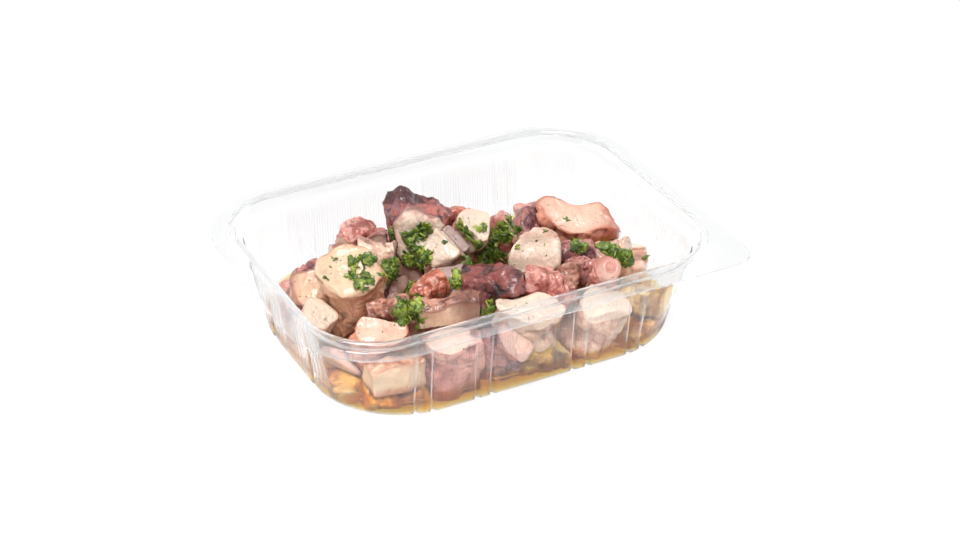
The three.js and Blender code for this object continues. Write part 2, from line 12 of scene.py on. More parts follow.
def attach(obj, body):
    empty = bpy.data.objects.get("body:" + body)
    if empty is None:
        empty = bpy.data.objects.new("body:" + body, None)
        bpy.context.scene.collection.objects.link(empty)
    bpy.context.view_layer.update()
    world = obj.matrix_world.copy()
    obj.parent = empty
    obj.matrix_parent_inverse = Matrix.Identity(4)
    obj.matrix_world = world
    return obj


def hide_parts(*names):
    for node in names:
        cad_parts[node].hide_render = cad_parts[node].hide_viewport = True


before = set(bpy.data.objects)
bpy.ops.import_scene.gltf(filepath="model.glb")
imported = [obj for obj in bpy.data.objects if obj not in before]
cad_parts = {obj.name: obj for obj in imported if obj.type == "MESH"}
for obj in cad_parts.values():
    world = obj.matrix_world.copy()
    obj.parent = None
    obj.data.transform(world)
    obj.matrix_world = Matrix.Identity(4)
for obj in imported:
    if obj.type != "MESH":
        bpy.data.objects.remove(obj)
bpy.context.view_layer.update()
mm = 0.001
print("frame loaded")


# meshes and fields

def addObject(name, data):
    made = bpy.data.objects.new(name, data)
    bpy.context.scene.collection.objects.link(made)
    return made


def addMesh(name, points, faces, material, smooth=True):
    mesh = bpy.data.meshes.new(name)
    mesh.from_pydata([tuple(point) for point in np.asarray(points) * mm], [], faces)
    mesh.validate()
    mesh.update()
    mesh.polygons.foreach_set("use_smooth", [smooth] * len(mesh.polygons))
    mesh.materials.append(material)
    return addObject(name, mesh)


def addAttribute(piece, name, values):
    attribute = piece.data.attributes.new(name, "FLOAT", "POINT")
    attribute.data.foreach_set("value", np.asarray(values, np.float32))


def readValues(items, name, width=1):
    # what a mesh holds for each of its points
    values = np.zeros(len(items) * width)
    items.foreach_get(name, values)
    return values.reshape(-1, width) if width > 1 else values


def smoothStep(low, high, value):
    share = np.clip((value - low) / (high - low), 0, 1)
    return share * share * (3 - 2 * share)


def latticeNoise(points, size, seed):
    # smooth random field from -1 to 1 whose lumps are about size across; the large factors only
    # scramble the number of a lattice point
    spot = points / size + seed * 17.31
    cell = np.floor(spot).astype(np.int64)
    part = spot - cell
    part = part * part * (3 - 2 * part)
    total = 0
    for corner in range(8):
        step = np.array([corner & 1, corner >> 1 & 1, corner >> 2 & 1])
        x, y, z = (cell + step).T
        mixed = (x * 374761393 + y * 668265263 + z * 2147483647 + seed * 974634777) & 0xFFFFFFFF
        mixed = ((mixed ^ (mixed >> 13)) * 1274126177) & 0xFFFFFFFF
        value = ((mixed ^ (mixed >> 16)) & 0xFFFF) / 32767.5 - 1
        total = total + value * np.prod(np.where(step, part, 1 - part), axis=-1)
    return total


def rayReach(isInside, count, most, halvings):
    # how far each of the rays goes before it leaves a shape, found by halving
    low, high = np.zeros(count), np.full(count, most)
    for _ in range(halvings):
        middle = (low + high) / 2
        inside = isInside(middle)
        low, high = np.where(inside, middle, low), np.where(inside, high, middle)
    return low


# materials

class Wiring:
    # short calls for the nodes of a material, the world or a node group
    def __init__(self, owner):
        self.tree = owner if isinstance(owner, bpy.types.NodeTree) else owner.node_tree

    def node(self, kind, values=None, **settings):
        # values go to the node's inputs, by name or number: a plain value or another node's output
        made = self.tree.nodes.new(kind)
        for key, value in settings.items():
            setattr(made, key, value)
        for key, value in (values or {}).items():
            if isinstance(value, bpy.types.NodeSocket):
                self.link(value, made.inputs[key])
            else:
                made.inputs[key].default_value = value
        return made

    def link(self, source, target):
        self.tree.links.new(source, target)

    def math(self, operation, *values):
        return self.node("ShaderNodeMath", dict(enumerate(values)), operation=operation).outputs[0]

    def mix(self, share, first, second, blend="MIX"):
        values = {0: share, 6: first, 7: second}
        return self.node("ShaderNodeMix", values, data_type="RGBA", blend_type=blend).outputs[2]

    def tint(self, base, colour, mask, strength):
        # the colour over the base, as far as the mask and the strength let it
        return self.mix(self.math("MULTIPLY", mask, strength), base, colour)

    def ramp(self, value, low, high):
        values = {0: value, 1: low, 2: high}
        return self.node("ShaderNodeMapRange", values, interpolation_type="SMOOTHSTEP").outputs[0]

    def swing(self, value, amount):
        # a value from 0 to 1 made to swing round zero
        return self.math("MULTIPLY", self.math("SUBTRACT", value, 0.5), amount)

    def place(self):
        return self.node("ShaderNodeTexCoord").outputs["Object"]

    def noise(self, place, size, detail=3.0, roughness=0.55, distortion=0.0):
        values = {"Vector": place, "Scale": 1 / (size * mm), "Detail": detail,
                  "Roughness": roughness, "Distortion": distortion}
        return self.node("ShaderNodeTexNoise", values).outputs["Fac"]

    def dots(self, place, size):
        values = {"Vector": place, "Scale": 1 / (size * mm)}
        return self.node("ShaderNodeTexVoronoi", values).outputs["Distance"]

    def attribute(self, name):
        return self.node("ShaderNodeAttribute", attribute_name=name).outputs["Fac"]

    def bump(self, height, depth, below=None):
        values = {"Height": height, "Strength": 1.0, "Distance": depth * mm}
        if below is not None:
            values["Normal"] = below
        return self.node("ShaderNodeBump", values).outputs["Normal"]

    def surface(self, values):
        return self.node("ShaderNodeBsdfPrincipled", values).outputs[0]

    def finish(self, shader, volume=None):
        values = {"Surface": shader}
        if volume is not None:
            values["Volume"] = volume
        self.node("ShaderNodeOutputMaterial", values)


def newMaterial(name):
    material = bpy.data.materials.new(name)
    material.use_nodes = True
    material.node_tree.nodes.clear()
    return material, Wiring(material)


def linear(red, green, blue):
    # a colour as seen, 0 to 255, for a shader
    shares = [value / 255 for value in (red, green, blue)]
    return tuple(s / 12.92 if s <= 0.04045 else ((s + 0.055) / 1.055) ** 2.4 for s in shares) + (1.0,)


# skin over flesh, for each finish: dark skin, light skin, a painted sheen on the skin that also tints clouds
# in the flesh, flesh
fleshColours = {
    "beige": ((186, 118, 90), (238, 184, 146), (246, 212, 184), (234, 206, 174)),
    "red": ((176, 96, 84), (244, 180, 164), (248, 206, 192), (240, 208, 180)),
    "purple": ((88, 36, 42), (190, 110, 98), (172, 130, 142), (255, 236, 214)),
    "peach": ((176, 82, 56), (234, 160, 132), (246, 202, 180), (240, 204, 182)),
    "white": ((214, 160, 138), (242, 210, 186), (246, 222, 210), (234, 210, 190)),
    "grey": ((150, 122, 116), (226, 200, 190), (208, 192, 200), (240, 222, 212)),
    "pink": ((180, 96, 84), (238, 172, 156), (244, 200, 190), (240, 208, 190)),
    "brown": ((128, 70, 54), (210, 148, 124), (228, 182, 162), (238, 208, 178)),
    "dark": ((58, 20, 24), (150, 74, 66), (132, 98, 108), (208, 152, 132)),
    "mauve": ((104, 50, 54), (198, 130, 120), (150, 120, 138), (228, 190, 172)),
    "amber": ((146, 100, 42), (222, 178, 100), (234, 202, 130), (236, 202, 134)),
}
# flesh that lies in the oil takes its colour, up to an uneven line
soak = {"stain": (0.78, 0.55, 0.23, 1.0), "waver": 4.0, "dryFrom": 10.5, "wetTo": 7.5}


def fleshMaterial(name, colours):
    material, w = newMaterial("flesh_" + name)
    place = w.place()
    dark, light, sheenAndCloud, flesh = (linear(*colour) for colour in colours)
    deep = tuple(value * 0.4 for value in dark[:3]) + (1.0,)
    blotch, fine = w.noise(place, 4.5, 7.0, 0.72, 1.0), w.noise(place, 1.1, 4.0, 0.65)
    height, stain, rim, cut = (w.attribute(field) for field in ("height", "stain", "rim", "cut"))
    shade = w.math("ADD", blotch, w.math("MULTIPLY", w.attribute("under"), 0.15))
    # painted shade: low spots and skin folds, by the height, darken the skin's tone
    shade = w.math("ADD", shade, w.swing(height, 0.32))
    shade = w.math("ADD", shade, w.swing(fine, 0.25))
    # skin in dark and light patches, with a painted sheen, dots of pigment and suckers
    skin = w.mix(w.ramp(shade, 0.42, 0.66), dark, light)
    # painted sheen: paler, bluish patches stand in for the wet skin's sheen
    skin = w.tint(skin, sheenAndCloud, w.ramp(w.noise(place, 5.5, 4.0, 0.6, 0.4), 0.52, 0.68), 0.65)
    skin = w.tint(skin, dark, w.ramp(w.dots(place, 0.9), 0.34, 0.12), 0.45)
    skin = w.tint(skin, w.mix(w.ramp(shade, 0.4, 0.7), deep, dark), stain, 0.8)
    skin = w.tint(skin, light, w.attribute("sucker"), 0.75)
    # painted shade in the suckers' hollows
    skin = w.tint(skin, dark, w.attribute("hollowShade"), 0.8)
    # the cut face is cream with pink clouds, and a thin dark line of skin runs round it
    meat = w.tint(flesh, light, w.ramp(w.noise(place, 4.2, 6.0, 0.66, 0.8), 0.48, 0.72), 0.7)
    # the sheen colour also tints the cut face in clouds of tone
    meat = w.tint(meat, sheenAndCloud, w.ramp(w.noise(place, 2.2, 4.0, 0.6), 0.56, 0.74), 0.6)
    meat = w.tint(meat, light, w.ramp(w.noise(place, 0.8, 5.0, 0.75, 0.6), 0.5, 0.8), 0.5)
    meat = w.tint(meat, light, w.math("POWER", rim, 1.2), 0.8)
    meat = w.tint(meat, dark, w.ramp(rim, 0.6, 0.85), 0.6)
    meat = w.tint(meat, dark, stain, 0.75)
    colour = w.mix(w.ramp(w.math("ADD", cut, w.swing(fine, 0.9)), 0.34, 0.6), skin, meat)
    # painted shade: creases are darkened, most of all in the skin
    creaseShade = w.ramp(height, 0.3, 0.05)
    colour = w.tint(colour, deep, creaseShade, w.math("MULTIPLY_ADD", cut, -0.5, 0.6))
    heightAt = w.node("ShaderNodeSeparateXYZ", {0: place}).outputs[2]
    line = w.math("MULTIPLY_ADD", blotch, soak["waver"] * mm, heightAt)
    oiled = w.ramp(line, soak["dryFrom"] * mm, soak["wetTo"] * mm)
    grain, soft = w.noise(place, 0.7, 4.0, 0.7), w.noise(place, 2.4, 5.0, 0.7)
    w.finish(w.surface({
        "Base Color": w.mix(oiled, colour, soak["stain"], "MULTIPLY"),
        "Roughness": w.math("MULTIPLY_ADD", fine, 0.35, 0.2), "Normal": w.bump(grain, 0.4, w.bump(soft, 1.2)),
        "Subsurface Weight": 0.25, "Subsurface Radius": (1.0, 0.4, 0.25), "Subsurface Scale": 0.0016,
        "Coat Weight": 0.65, "Coat Roughness": 0.14, "Coat IOR": 1.45,
    }))
    return material


def throughLight(w, shader, tint=(1.0, 1.0, 1.0, 1.0)):
    # light passes straight through on its way to what lies behind
    isShadow = w.node("ShaderNodeLightPath").outputs["Is Shadow Ray"]
    clear = w.node("ShaderNodeBsdfTransparent", {"Color": tint}).outputs[0]
    return w.node("ShaderNodeMixShader", {0: isShadow, 1: shader, 2: clear}).outputs[0]


def clearSheetMaterial():
    # painted reflection: the sheet is tinted grey and given more sheen on rim, ribs and the flanks of
    # grooves, where reflections run
    material, w = newMaterial("clear_sheet")
    reflectionBand = w.attribute("reflectionBand")
    clear, reflectedGrey = (0.985, 0.99, 0.99, 1.0), (0.86, 0.87, 0.88, 1.0)
    shader = w.surface({
        "Base Color": w.mix(reflectionBand, clear, reflectedGrey), "Roughness": 0.05, "IOR": 1.06,
        "Transmission Weight": 1.0, "Normal": w.bump(w.noise(w.place(), 9.0, 2.0), 0.12),
        "Coat Weight": 1.0, "Coat Roughness": 0.1, "Coat IOR": 1.5,
        "Sheen Weight": w.math("MULTIPLY_ADD", reflectionBand, 0.9, 0.08), "Sheen Roughness": 0.5,
    })
    w.finish(throughLight(w, shader, (0.97, 0.97, 0.97, 1.0)))
    return material


def oilMaterial():
    material, w = newMaterial("golden_oil")
    shader = w.surface({
        "Base Color": (1.0, 1.0, 1.0, 1.0), "Roughness": 0.0, "IOR": 1.08,
        "Transmission Weight": 1.0, "Normal": w.bump(w.noise(w.place(), 7.0, 2.0), 0.25),
        "Coat Weight": 0.8, "Coat Roughness": 0.03, "Coat IOR": 1.46,
    })
    golden = w.node("ShaderNodeVolumeAbsorption", {"Color": (0.93, 0.765, 0.13, 1.0), "Density": 560.0})
    w.finish(throughLight(w, shader), golden.outputs[0])
    return material


def fleckMaterial():
    material, w = newMaterial("dark_fleck")
    tone = w.ramp(w.noise(w.place(), 1.2, 2.0), 0.4, 0.6)
    colour = w.mix(tone, linear(46, 40, 20), linear(84, 98, 38))
    w.finish(w.surface({"Base Color": colour, "Roughness": 0.5, "Coat Weight": 0.3}))
    return material


def parsleyMaterial():
    material, w = newMaterial("parsley")
    place = w.place()
    green = w.mix(w.ramp(w.noise(place, 2.5, 3.0), 0.35, 0.7), linear(34, 62, 8), linear(78, 108, 20))
    w.finish(w.surface({
        "Base Color": w.mix(w.attribute("tone"), green, linear(150, 164, 50)), "Roughness": 0.5,
        "Normal": w.bump(w.noise(place, 0.7, 2.0), 0.12), "Coat Weight": 0.35, "Coat Roughness": 0.2,
        "Subsurface Weight": 0.15, "Subsurface Radius": (0.3, 0.6, 0.1), "Subsurface Scale": 0.001,
    }))
    return material


def floorMaterial(look):
    # the floor looks near white, but its bounce and its mirror image are softer
    material, w = newMaterial("pale_floor")
    path = w.node("ShaderNodeLightPath").outputs
    isSeen = w.math("MAXIMUM", path["Is Camera Ray"], path["Is Transmission Ray"])
    seen, bounced, mirrored = ((look[key],) * 3 + (1.0,) for key in ("seen", "bounced", "mirrored"))
    w.finish(w.surface({
        "Base Color": w.mix(isSeen, w.mix(path["Is Diffuse Ray"], mirrored, bounced), seen),
        "Roughness": 0.9, "Emission Color": (1.0, 1.0, 1.0, 1.0),
        "Emission Strength": w.math("MULTIPLY", isSeen, look["glow"]),
    }))
    return material


materials = {"flesh_" + name: fleshMaterial(name, colours) for name, colours in fleshColours.items()}
materials["tub"] = clearSheetMaterial()
materials["oil"] = oilMaterial()
parsleyGreen, fleckDark = parsleyMaterial(), fleckMaterial()
print("materials made")

# the tub: each ring of the sheet's inner line has a reach beyond the rim's outer line, a height, a
# corner radius, a share of a groove's depth and a share of a rib's depth; wall foot and top have
# the first three
tub = {
    "halfLength": 92.0, "halfWidth": 67.2, "sheet": 0.6, "floorRound": 2.5,
    "wallFoot": (-10.6, 3.1, 40.0), "wallTop": (-6.2, 38.0, 27.0), "footWiden": 3.0,
    "flangeReach": 7.2, "earFrom": 1.0, "earCorner": 11.0, "edgeThin": 0.6, "leastMitre": 0.4,
    "rayCentre": (58.0, 34.0), "rayLength": 140.0, "halvings": 30,
    "columnStep": 0.52, "cornerSteps": 26, "floorSteps": 7, "wallSteps": 14,
    "grooveDepth": 2.4, "grooveHalf": 1.9, "grooveFoot": 0.7, "ribDepth": 0.36, "ribsFade": 2,
    # painted reflection: how far the rim and the ribs are greyed
    "reflectionFrom": 38.0, "reflectionTo": 39.0, "rimReflection": 0.5, "ribReflection": 0.85,
    "longSide": {"grooves": (19, 26, 46, 53), "ribsFrom": 10, "ribsTo": 56, "ribPitch": 2.5,
                 "wallFrom": 40, "wallTo": 46},
    "shortSide": {"grooves": (20,), "ribsFrom": 7, "ribsTo": 33, "ribPitch": 3.4,
                  "wallFrom": 60, "wallTo": 66},
    "rim": [(-5.7, 38.5, 27.4, 0.1, 0), (-4.2, 38.9, 28.3, 0, 0), (-3.55, 39.3, 28.9, 0, 0),
            (-3.3, 40.0, 29.1, 0, 0), (-3.1, 43.4, 29.4, 0, 0), (-2.7, 44.1, 29.7, 0, 0),
            (-1.9, 44.5, 30.3, 0, 0), (-0.8, 44.5, 31.2, 0, 0), (0.0, 44.1, 31.8, 0, 0),
            (0.35, 43.3, 32.1, 0, 0), (0.6, 41.6, 32.4, 0, 0), (1.0, 41.0, 32.8, 0, 0),
            (1.8, 40.8, 33.6, 0, 0), (6.2, 40.8, 38.2, 0, 0), (6.8, 40.95, 38.7, 0, 0),
            (7.2, 41.3, 39.0, 0, 0)],
}


def outlineDistance(x, y, halfLength, halfWidth, corner):
    # to a rectangle with round corners, negative inside
    qx = np.abs(x) - (halfLength - corner)
    qy = np.abs(y) - (halfWidth - corner)
    outside = np.hypot(np.maximum(qx, 0), np.maximum(qy, 0))
    return outside + np.minimum(np.maximum(qx, qy), 0) - corner


def wallShare(z):
    # 0 at the wall's foot, 1 at its top
    footHeight, topHeight = tub["wallFoot"][1], tub["wallTop"][1]
    return np.clip((z - footHeight) / (topHeight - footHeight), 0, 1)


def widening(z):
    # the long sides stand steeper than the ends: their foot reaches further out
    return tub["footWiden"] * (1 - wallShare(z))


def grooveShare(at, side):
    # 1 in the middle of one of a side's grooves, 0 beside them
    near = np.min([np.abs(np.abs(at) - place) for place in side["grooves"]], axis=0)
    return smoothStep(0, 1, 1 - near / tub["grooveHalf"])


def wallDents(points):
    # how far the grooves stand in at a place near the wall; they fade towards the rim
    x, y, z = points.T
    rise = 0
    for at, across, side in ((x, y, tub["longSide"]), (y, x, tub["shortSide"])):
        byWall = smoothStep(side["wallFrom"], side["wallTo"], np.abs(across))
        rise = rise + grooveShare(at, side) * byWall
    return np.minimum(rise, 1) * (1 - wallShare(z)) * tub["grooveDepth"]


def wallDistance(points):
    # negative inside the tub's wall
    footReach, footHeight, footCorner = tub["wallFoot"]
    topReach, _, topCorner = tub["wallTop"]
    z = points[..., 2]
    share, radius = wallShare(z), tub["floorRound"]
    below = np.clip(footHeight - z, 0, radius)
    inset = radius - np.sqrt(np.maximum(radius ** 2 - below ** 2, 0))
    reach = footReach + (topReach - footReach) * share - inset
    corner = np.maximum(footCorner + (topCorner - footCorner) * share - inset, 1)
    return outlineDistance(points[..., 0], points[..., 1], tub["halfLength"] + reach,
                           tub["halfWidth"] + reach + widening(z), corner)


def tubRings():
    footReach, footHeight, footCorner = tub["wallFoot"]
    rings = []
    for step in range(tub["floorSteps"]):
        turn = math.radians(90 * step / tub["floorSteps"])
        inset = tub["floorRound"] * (1 - math.sin(turn))
        height = footHeight - tub["floorRound"] * math.cos(turn)
        groove = tub["grooveFoot"] + (1 - tub["grooveFoot"]) * step / tub["floorSteps"]
        rings.append((footReach - inset, height, footCorner - inset, groove, 0))
    for step in range(tub["wallSteps"] + 1):
        share = step / tub["wallSteps"]
        place = [foot + (top - foot) * share for foot, top in zip(tub["wallFoot"], tub["wallTop"])]
        rib = min(1, 4 * share, 5 * (1 - share))  # ribs fade out at both ends
        rings.append((*place, 1 - share, rib))
    return rings + tub["rim"]


def tubColumns():
    # rays from inside the tub out to the wall, all the way round; grooves and ribs follow them
    centre = (tub["rayCentre"], tub["rayCentre"][::-1])
    columns = []
    for quarter in range(4):
        out = np.array([(1, 0), (0, 1), (-1, 0), (0, -1)][quarter])
        along = np.array([-out[1], out[0]])
        outReach, alongReach = centre[quarter % 2]
        side = (tub["shortSide"], tub["longSide"])[quarter % 2]
        low, high, fade = side["ribsFrom"], side["ribsTo"], tub["ribsFade"]
        steps = int(2 * alongReach / tub["columnStep"])
        for step in range(steps):
            at = alongReach * (2 * step / steps - 1)
            within = smoothStep(low - fade, low, abs(at)) * (1 - smoothStep(high, high + fade, abs(at)))
            rib = within * (0.5 - 0.5 * math.cos(2 * math.pi * at / side["ribPitch"]))
            columns.append((*(out * outReach + along * at), *out, grooveShare(at, side), rib))
        for step in range(tub["cornerSteps"]):
            turn = math.radians(90 * step / tub["cornerSteps"])
            ray = out * math.cos(turn) + along * math.sin(turn)
            columns.append((*(out * outReach + along * alongReach), *ray, 0, 0))
    return np.array(columns)


def ringPoints(ring, columns):
    # where the rays meet a ring; the ear's corner is nearly square
    reach, height, corner, groove, rib = ring
    x, y, dx, dy = columns[:, :4].T
    onEar = (x > 0) & (y < 0) & (reach > tub["earFrom"])
    share = np.clip((reach - tub["earFrom"]) / (tub["flangeReach"] - tub["earFrom"]), 0, 1)
    corners = np.where(onEar, corner + (tub["earCorner"] - corner) * share, corner)
    halfLength, halfWidth = tub["halfLength"] + reach, tub["halfWidth"] + reach + widening(height)

    def isInside(far):
        return outlineDistance(x + dx * far, y + dy * far, halfLength, halfWidth, corners) <= 0

    far = rayReach(isInside, len(columns), tub["rayLength"], tub["halvings"])
    far = far - columns[:, 4] * groove * tub["grooveDepth"] - columns[:, 5] * rib * tub["ribDepth"]
    return np.stack([x + dx * far, y + dy * far, np.full(len(columns), height)], axis=1)


def offsetRings(rings, thickness):
    # the profile moved square to its own line, and less so towards the flange's edge
    moved = []
    for index, (reach, height, *rest) in enumerate(rings):
        before = np.array(rings[max(index - 1, 0)][:2])
        after = np.array(rings[min(index + 1, len(rings) - 1)][:2])
        first, second = np.array([reach, height]) - before, after - np.array([reach, height])
        if index == 0:
            first = np.array([1.0, 0.0])
        if index == len(rings) - 1:
            second = first
        first, second = first / np.linalg.norm(first), second / np.linalg.norm(second)
        between = (first + second) / np.linalg.norm(first + second)
        thin = 1 - tub["edgeThin"] * smoothStep(0, tub["flangeReach"], reach)
        shift = thickness * thin / max(between @ first, tub["leastMitre"])
        moved.append((reach + between[1] * shift, height - between[0] * shift, *rest))
    return moved


def closedStack(name, stack, lowest, highest, material):
    # rings of points joined one to the next, with a middle point that closes either end
    count, last = len(stack[0]), (len(stack) - 1) * len(stack[0])
    after = [(column + 1) % count for column in range(count)]
    faces = [(start + column, start + after[column], start + count + after[column], start + count + column)
             for start in range(0, last, count) for column in range(count)]
    faces += [(last + count, after[column], column) for column in range(count)]
    faces += [(last + count + 1, last + column, last + after[column]) for column in range(count)]
    return addMesh(name, np.vstack([*stack, (0, 0, lowest), (0, 0, highest)]), faces, material)


def makeTub():
    rings, columns = tubRings(), tubColumns()
    stack = offsetRings(rings, tub["sheet"]) + rings[::-1]
    spots = [ringPoints(ring, columns) for ring in stack]
    made = closedStack("clearTub", spots, 0, tub["sheet"], materials["tub"])
    flanks = 4 * columns[:, 4:] * (1 - columns[:, 4:])  # of grooves and of ribs
    # painted reflection: the band greys the flanks of grooves and ribs, and the rim
    reflectionBands = []
    for _, height, _, groove, rib in stack:
        rimReflected = tub["rimReflection"] * smoothStep(tub["reflectionFrom"], tub["reflectionTo"], height)
        reflectionBands.append(np.clip(groove * flanks[:, 0] + tub["ribReflection"] * rib * flanks[:, 1] + rimReflected, 0, 1))
    addAttribute(made, "reflectionBand", np.append(np.concatenate(reflectionBands), (0, 0)))
    return made


# oil: it fills the tub up to its level and creeps up the wall a little, by steps of inset and rise
oil = {"level": 7.0, "intoWall": 0.15, "crispEdge": 0.04,
       "creep": ((0.0, 0.7), (-0.05, 0.66), (-0.5, 0.36), (-1.2, 0.13), (-2.4, 0.0)), "rings": 26}


def makeOil():
    rings, columns = offsetRings(tubRings(), oil["intoWall"]), tubColumns()
    wetTo = oil["level"] + oil["creep"][0][1]
    stack = [ringPoints(ring, columns) for ring in rings if ring[1] < wetTo]
    top = ringPoints(next(ring for ring in rings if ring[1] >= wetTo), columns)
    last = stack[-1]
    edge, under = (last + (top - last) * (height - last[0, 2]) / (top[0, 2] - last[0, 2])
                   for height in (wetTo, wetTo - oil["crispEdge"]))
    stack.append(under)
    for inset, rise in oil["creep"]:
        ring = edge.copy()
        ring[:, :2] += columns[:, 2:4] * inset
        ring[:, 2] = oil["level"] + rise
        stack.append(ring)
    inner = stack[-1]
    for step in range(1, oil["rings"]):
        ring = inner.copy()
        ring[:, :2] *= 1 - step / oil["rings"]
        stack.append(ring)
    return closedStack("oilPool", stack, stack[0][0, 2], oil["level"], materials["oil"])


clearTub = makeTub()
oilPool = makeOil()
print("tub and oil made")

# the octopus: kind, middle x y z, length width height, yaw pitch roll, finish. An arm piece is cut
# off at both ends, a half is also split along its length, an oval is split and round-ended, a slab
# is a flat strip, a tip tapers.
heap = {
    "contactGap": 0.12, "contactWave": 0.9, "edgeSharpness": 2.2, "wallRoom": -0.12, "cutLean": 0.16,
    "splitShare": 0.3, "bend": 0.065, "armPower": 2.2, "slabPower": 3.6, "ovalPower": 2.15,
    "narrow": 0.1, "tipNarrow": 0.28, "leastTaper": 0.15,
    "girth": {"mean": 0.97, "twoSided": 0.035, "threeSided": 0.045, "along": 0.04},
    "trials": 60, "sway": 0.9, "touchFrom": -3.5,
    "shownGrid": 48, "hiddenGrid": 22, "rayShare": 1.8, "halvings": 24, "slopeStep": 0.25,
}
pieceTable = {
    "chunkLeft": ("arm", -57, -3, 29, 34, 30, 28, -104, 68, 0, "beige"),
    "bumpyBack": ("arm", -35.5, 33, 29.5, 15, 15, 19, 20, 10, 0, "red"),
    "peak": ("arm", -16, 12.5, 43, 19, 30, 32, -120, 10, 0, "purple"),
    "peakRight": ("arm", -2, 18, 37, 20, 15, 18, -32, -8, 0, "peach"),
    "whiteSpeck": ("arm", -13, -5, 38, 22, 19, 21, -125, 44, 0, "white"),
    "greySlice": ("slab", -8.5, -3, 42, 14, 9, 3, -55, -37, 30, "grey"),
    "paleChunk": ("arm", 0, 1, 40, 21, 22, 18, -70, 58, 0, "white"),
    "pinkChunk": ("arm", 14, 3, 33, 20, 17, 19, -30, 24, 0, "pink"),
    "purpleWhite": ("arm", 34, 8, 29, 17, 15, 16, 50, 10, 0, "mauve"),
    "bigSlab": ("oval", 54.5, 2, 31.4, 42, 18, 25, -24, -12, -160, "peach"),
    "creamChunk": ("arm", 25, -19, 33.3, 28, 29, 20, -118, 26, 0, "white"),
    "darkSkin": ("arm", -5, -31, 30.5, 38, 26, 25, -32, -3, 0, "dark"),
    "pinkFold": ("arm", 13, -40, 32, 21, 17, 17, -30, -8, 0, "pink"),
    "amberPiece": ("arm", 26, -38, 29, 18, 14, 16, 60, 50, 0, "brown"),
    "mauveBumpy": ("tip", 40, -32, 28, 21, 16, 20, -60, 30, 0, "mauve"),
    "suckerRing": ("arm", 42, -43.5, 30.5, 14, 13, 12, -80, 55, 0, "pink"),
    "smallRight": ("arm", 75, -11, 10.5, 19, 15, 14, 60, 60, 0, "white"),
    "redTip": ("tip", -30, -22, 32, 20, 17, 22, -150, 10, 0, "peach"),
    "beigeEdge": ("half", -31, -42, 33, 25, 15, 18, -25, 5, -80, "brown"),
    "mauveWhite": ("arm", -50, -26, 29.5, 17, 13, 14, -20, 12, 0, "brown"),
    "whiteDome": ("arm", 2, -47, 23, 28, 27, 26, -112, 58, 0, "white"),
    "smallWhite": ("arm", -38, 9, 33, 15, 14, 21, -30, 0, 0, "white"),
    "blueWhite": ("slab", -16, -20, 31, 19, 15, 19, -30, 8, 8, "grey"),
    "mauveArm": ("arm", 41.5, -21, 28, 26, 16, 15, -18, 0, 0, "mauve"),
    "smallMauve": ("arm", -61, 30, 21, 12, 11, 12, 10, 10, 0, "mauve"),
    "darkKnob": ("tip", -30, 25, 32, 15, 13, 21, 60, 10, 0, "purple"),
    "beigeOrange": ("arm", -68, 17, 22, 17, 15, 15, -110, 40, 0, "brown"),
    "whiteLeft": ("arm", -74, -6, 20, 24, 15, 17, -95, 62, 0, "white"),
    "domeLeft": ("arm", -57, -31, 20, 24, 23, 19, -110, 68, 0, "peach"),
    "slabFront": ("half", -54.5, -47, 14, 27, 13, 20, -2, 0, -84, "beige"),
    "pinkFront": ("arm", -33, -46, 15, 34, 31, 24, -95, 74, 0, "pink"),
    "mauveFront": ("arm", -10, -48, 11, 28, 18, 22, -60, 50, 0, "mauve"),
    "yellowFront": ("arm", 6, -50, 7, 24, 17, 14, -5, 0, 0, "amber"),
    "whiteFront": ("arm", 35, -47, 13, 32, 27, 25, -70, 58, 0, "white"),
    "brownLeft": ("arm", -73, 20, 8, 23, 18, 17, 70, 5, 0, "brown"),
    "lowLeft": ("arm", -58, -15, 9, 30, 24, 19, 20, 0, 0, "mauve"),
    "innerA": ("arm", -31, -16, 12, 27, 24, 27, 80, 0, 0, "pink"),
    "innerB": ("arm", -6, -13, 12, 28, 24, 27, -20, 0, 0, "mauve"),
    "innerC": ("arm", 17, -19, 12, 28, 24, 25, 50, 0, 0, "purple"),
    "lowRight": ("arm", 46, -20, 10, 32, 24, 23, -10, 0, 0, "pink"),
    "innerD": ("arm", -40, 12, 12, 30, 26, 27, -40, 0, 0, "mauve"),
    "innerE": ("arm", -12, 14, 13, 30, 26, 28, 15, 0, 0, "pink"),
    "innerF": ("arm", 16, 12, 13, 28, 26, 28, -60, 0, 0, "brown"),
    "lowBack": ("arm", 46, 8, 11, 30, 26, 24, 30, 0, 0, "mauve"),
    "backA": ("arm", -56, 41, 7, 28, 22, 14, 30, 0, 0, "pink"),
    "backB": ("arm", -31, 41, 12, 27, 24, 26, -10, 0, 0, "purple"),
    "backC": ("arm", -4, 43, 10, 27, 22, 22, 15, 0, 0, "beige"),
    "backD": ("arm", 22, 41, 10, 27, 22, 22, -25, 0, 0, "mauve"),
    "backE": ("arm", 49, 36, 9, 28, 22, 20, 35, 0, 0, "pink"),
    "lowCorner": ("arm", -56, -43, 4, 27, 20, 7.4, -4, 0, 0, "amber"),
    "tanCorner": ("arm", 66, -37.5, 8, 26, 19, 15, -50, 12, 0, "amber"),
    "whiteRight": ("arm", 57, -23, 27, 18, 14, 14, -30, 8, 0, "white"),
    "lowEnd": ("arm", -71.5, -28, 4, 24, 16, 7.4, 70, 0, 0, "amber"),
    "lowTan": ("arm", 57, -48.5, 4, 26, 12, 7.4, 26, 0, 0, "amber"),
}


def chance(index, salt):
    # a piece's own steady share from 0 to 1 for each salt
    return (index * 0.618034 * (salt + 1) + 0.37 * salt) % 1.0


# slopes that a piece has beside its round: direction in its own frame and depth
slopeTable = {
    "peak": (((0.6, 0, 0.8), 13.8), ((0, 0.3, 0.95), 10.6)),
    "darkSkin": (((0.3, 0.75, 0.6), 10.5),),
}


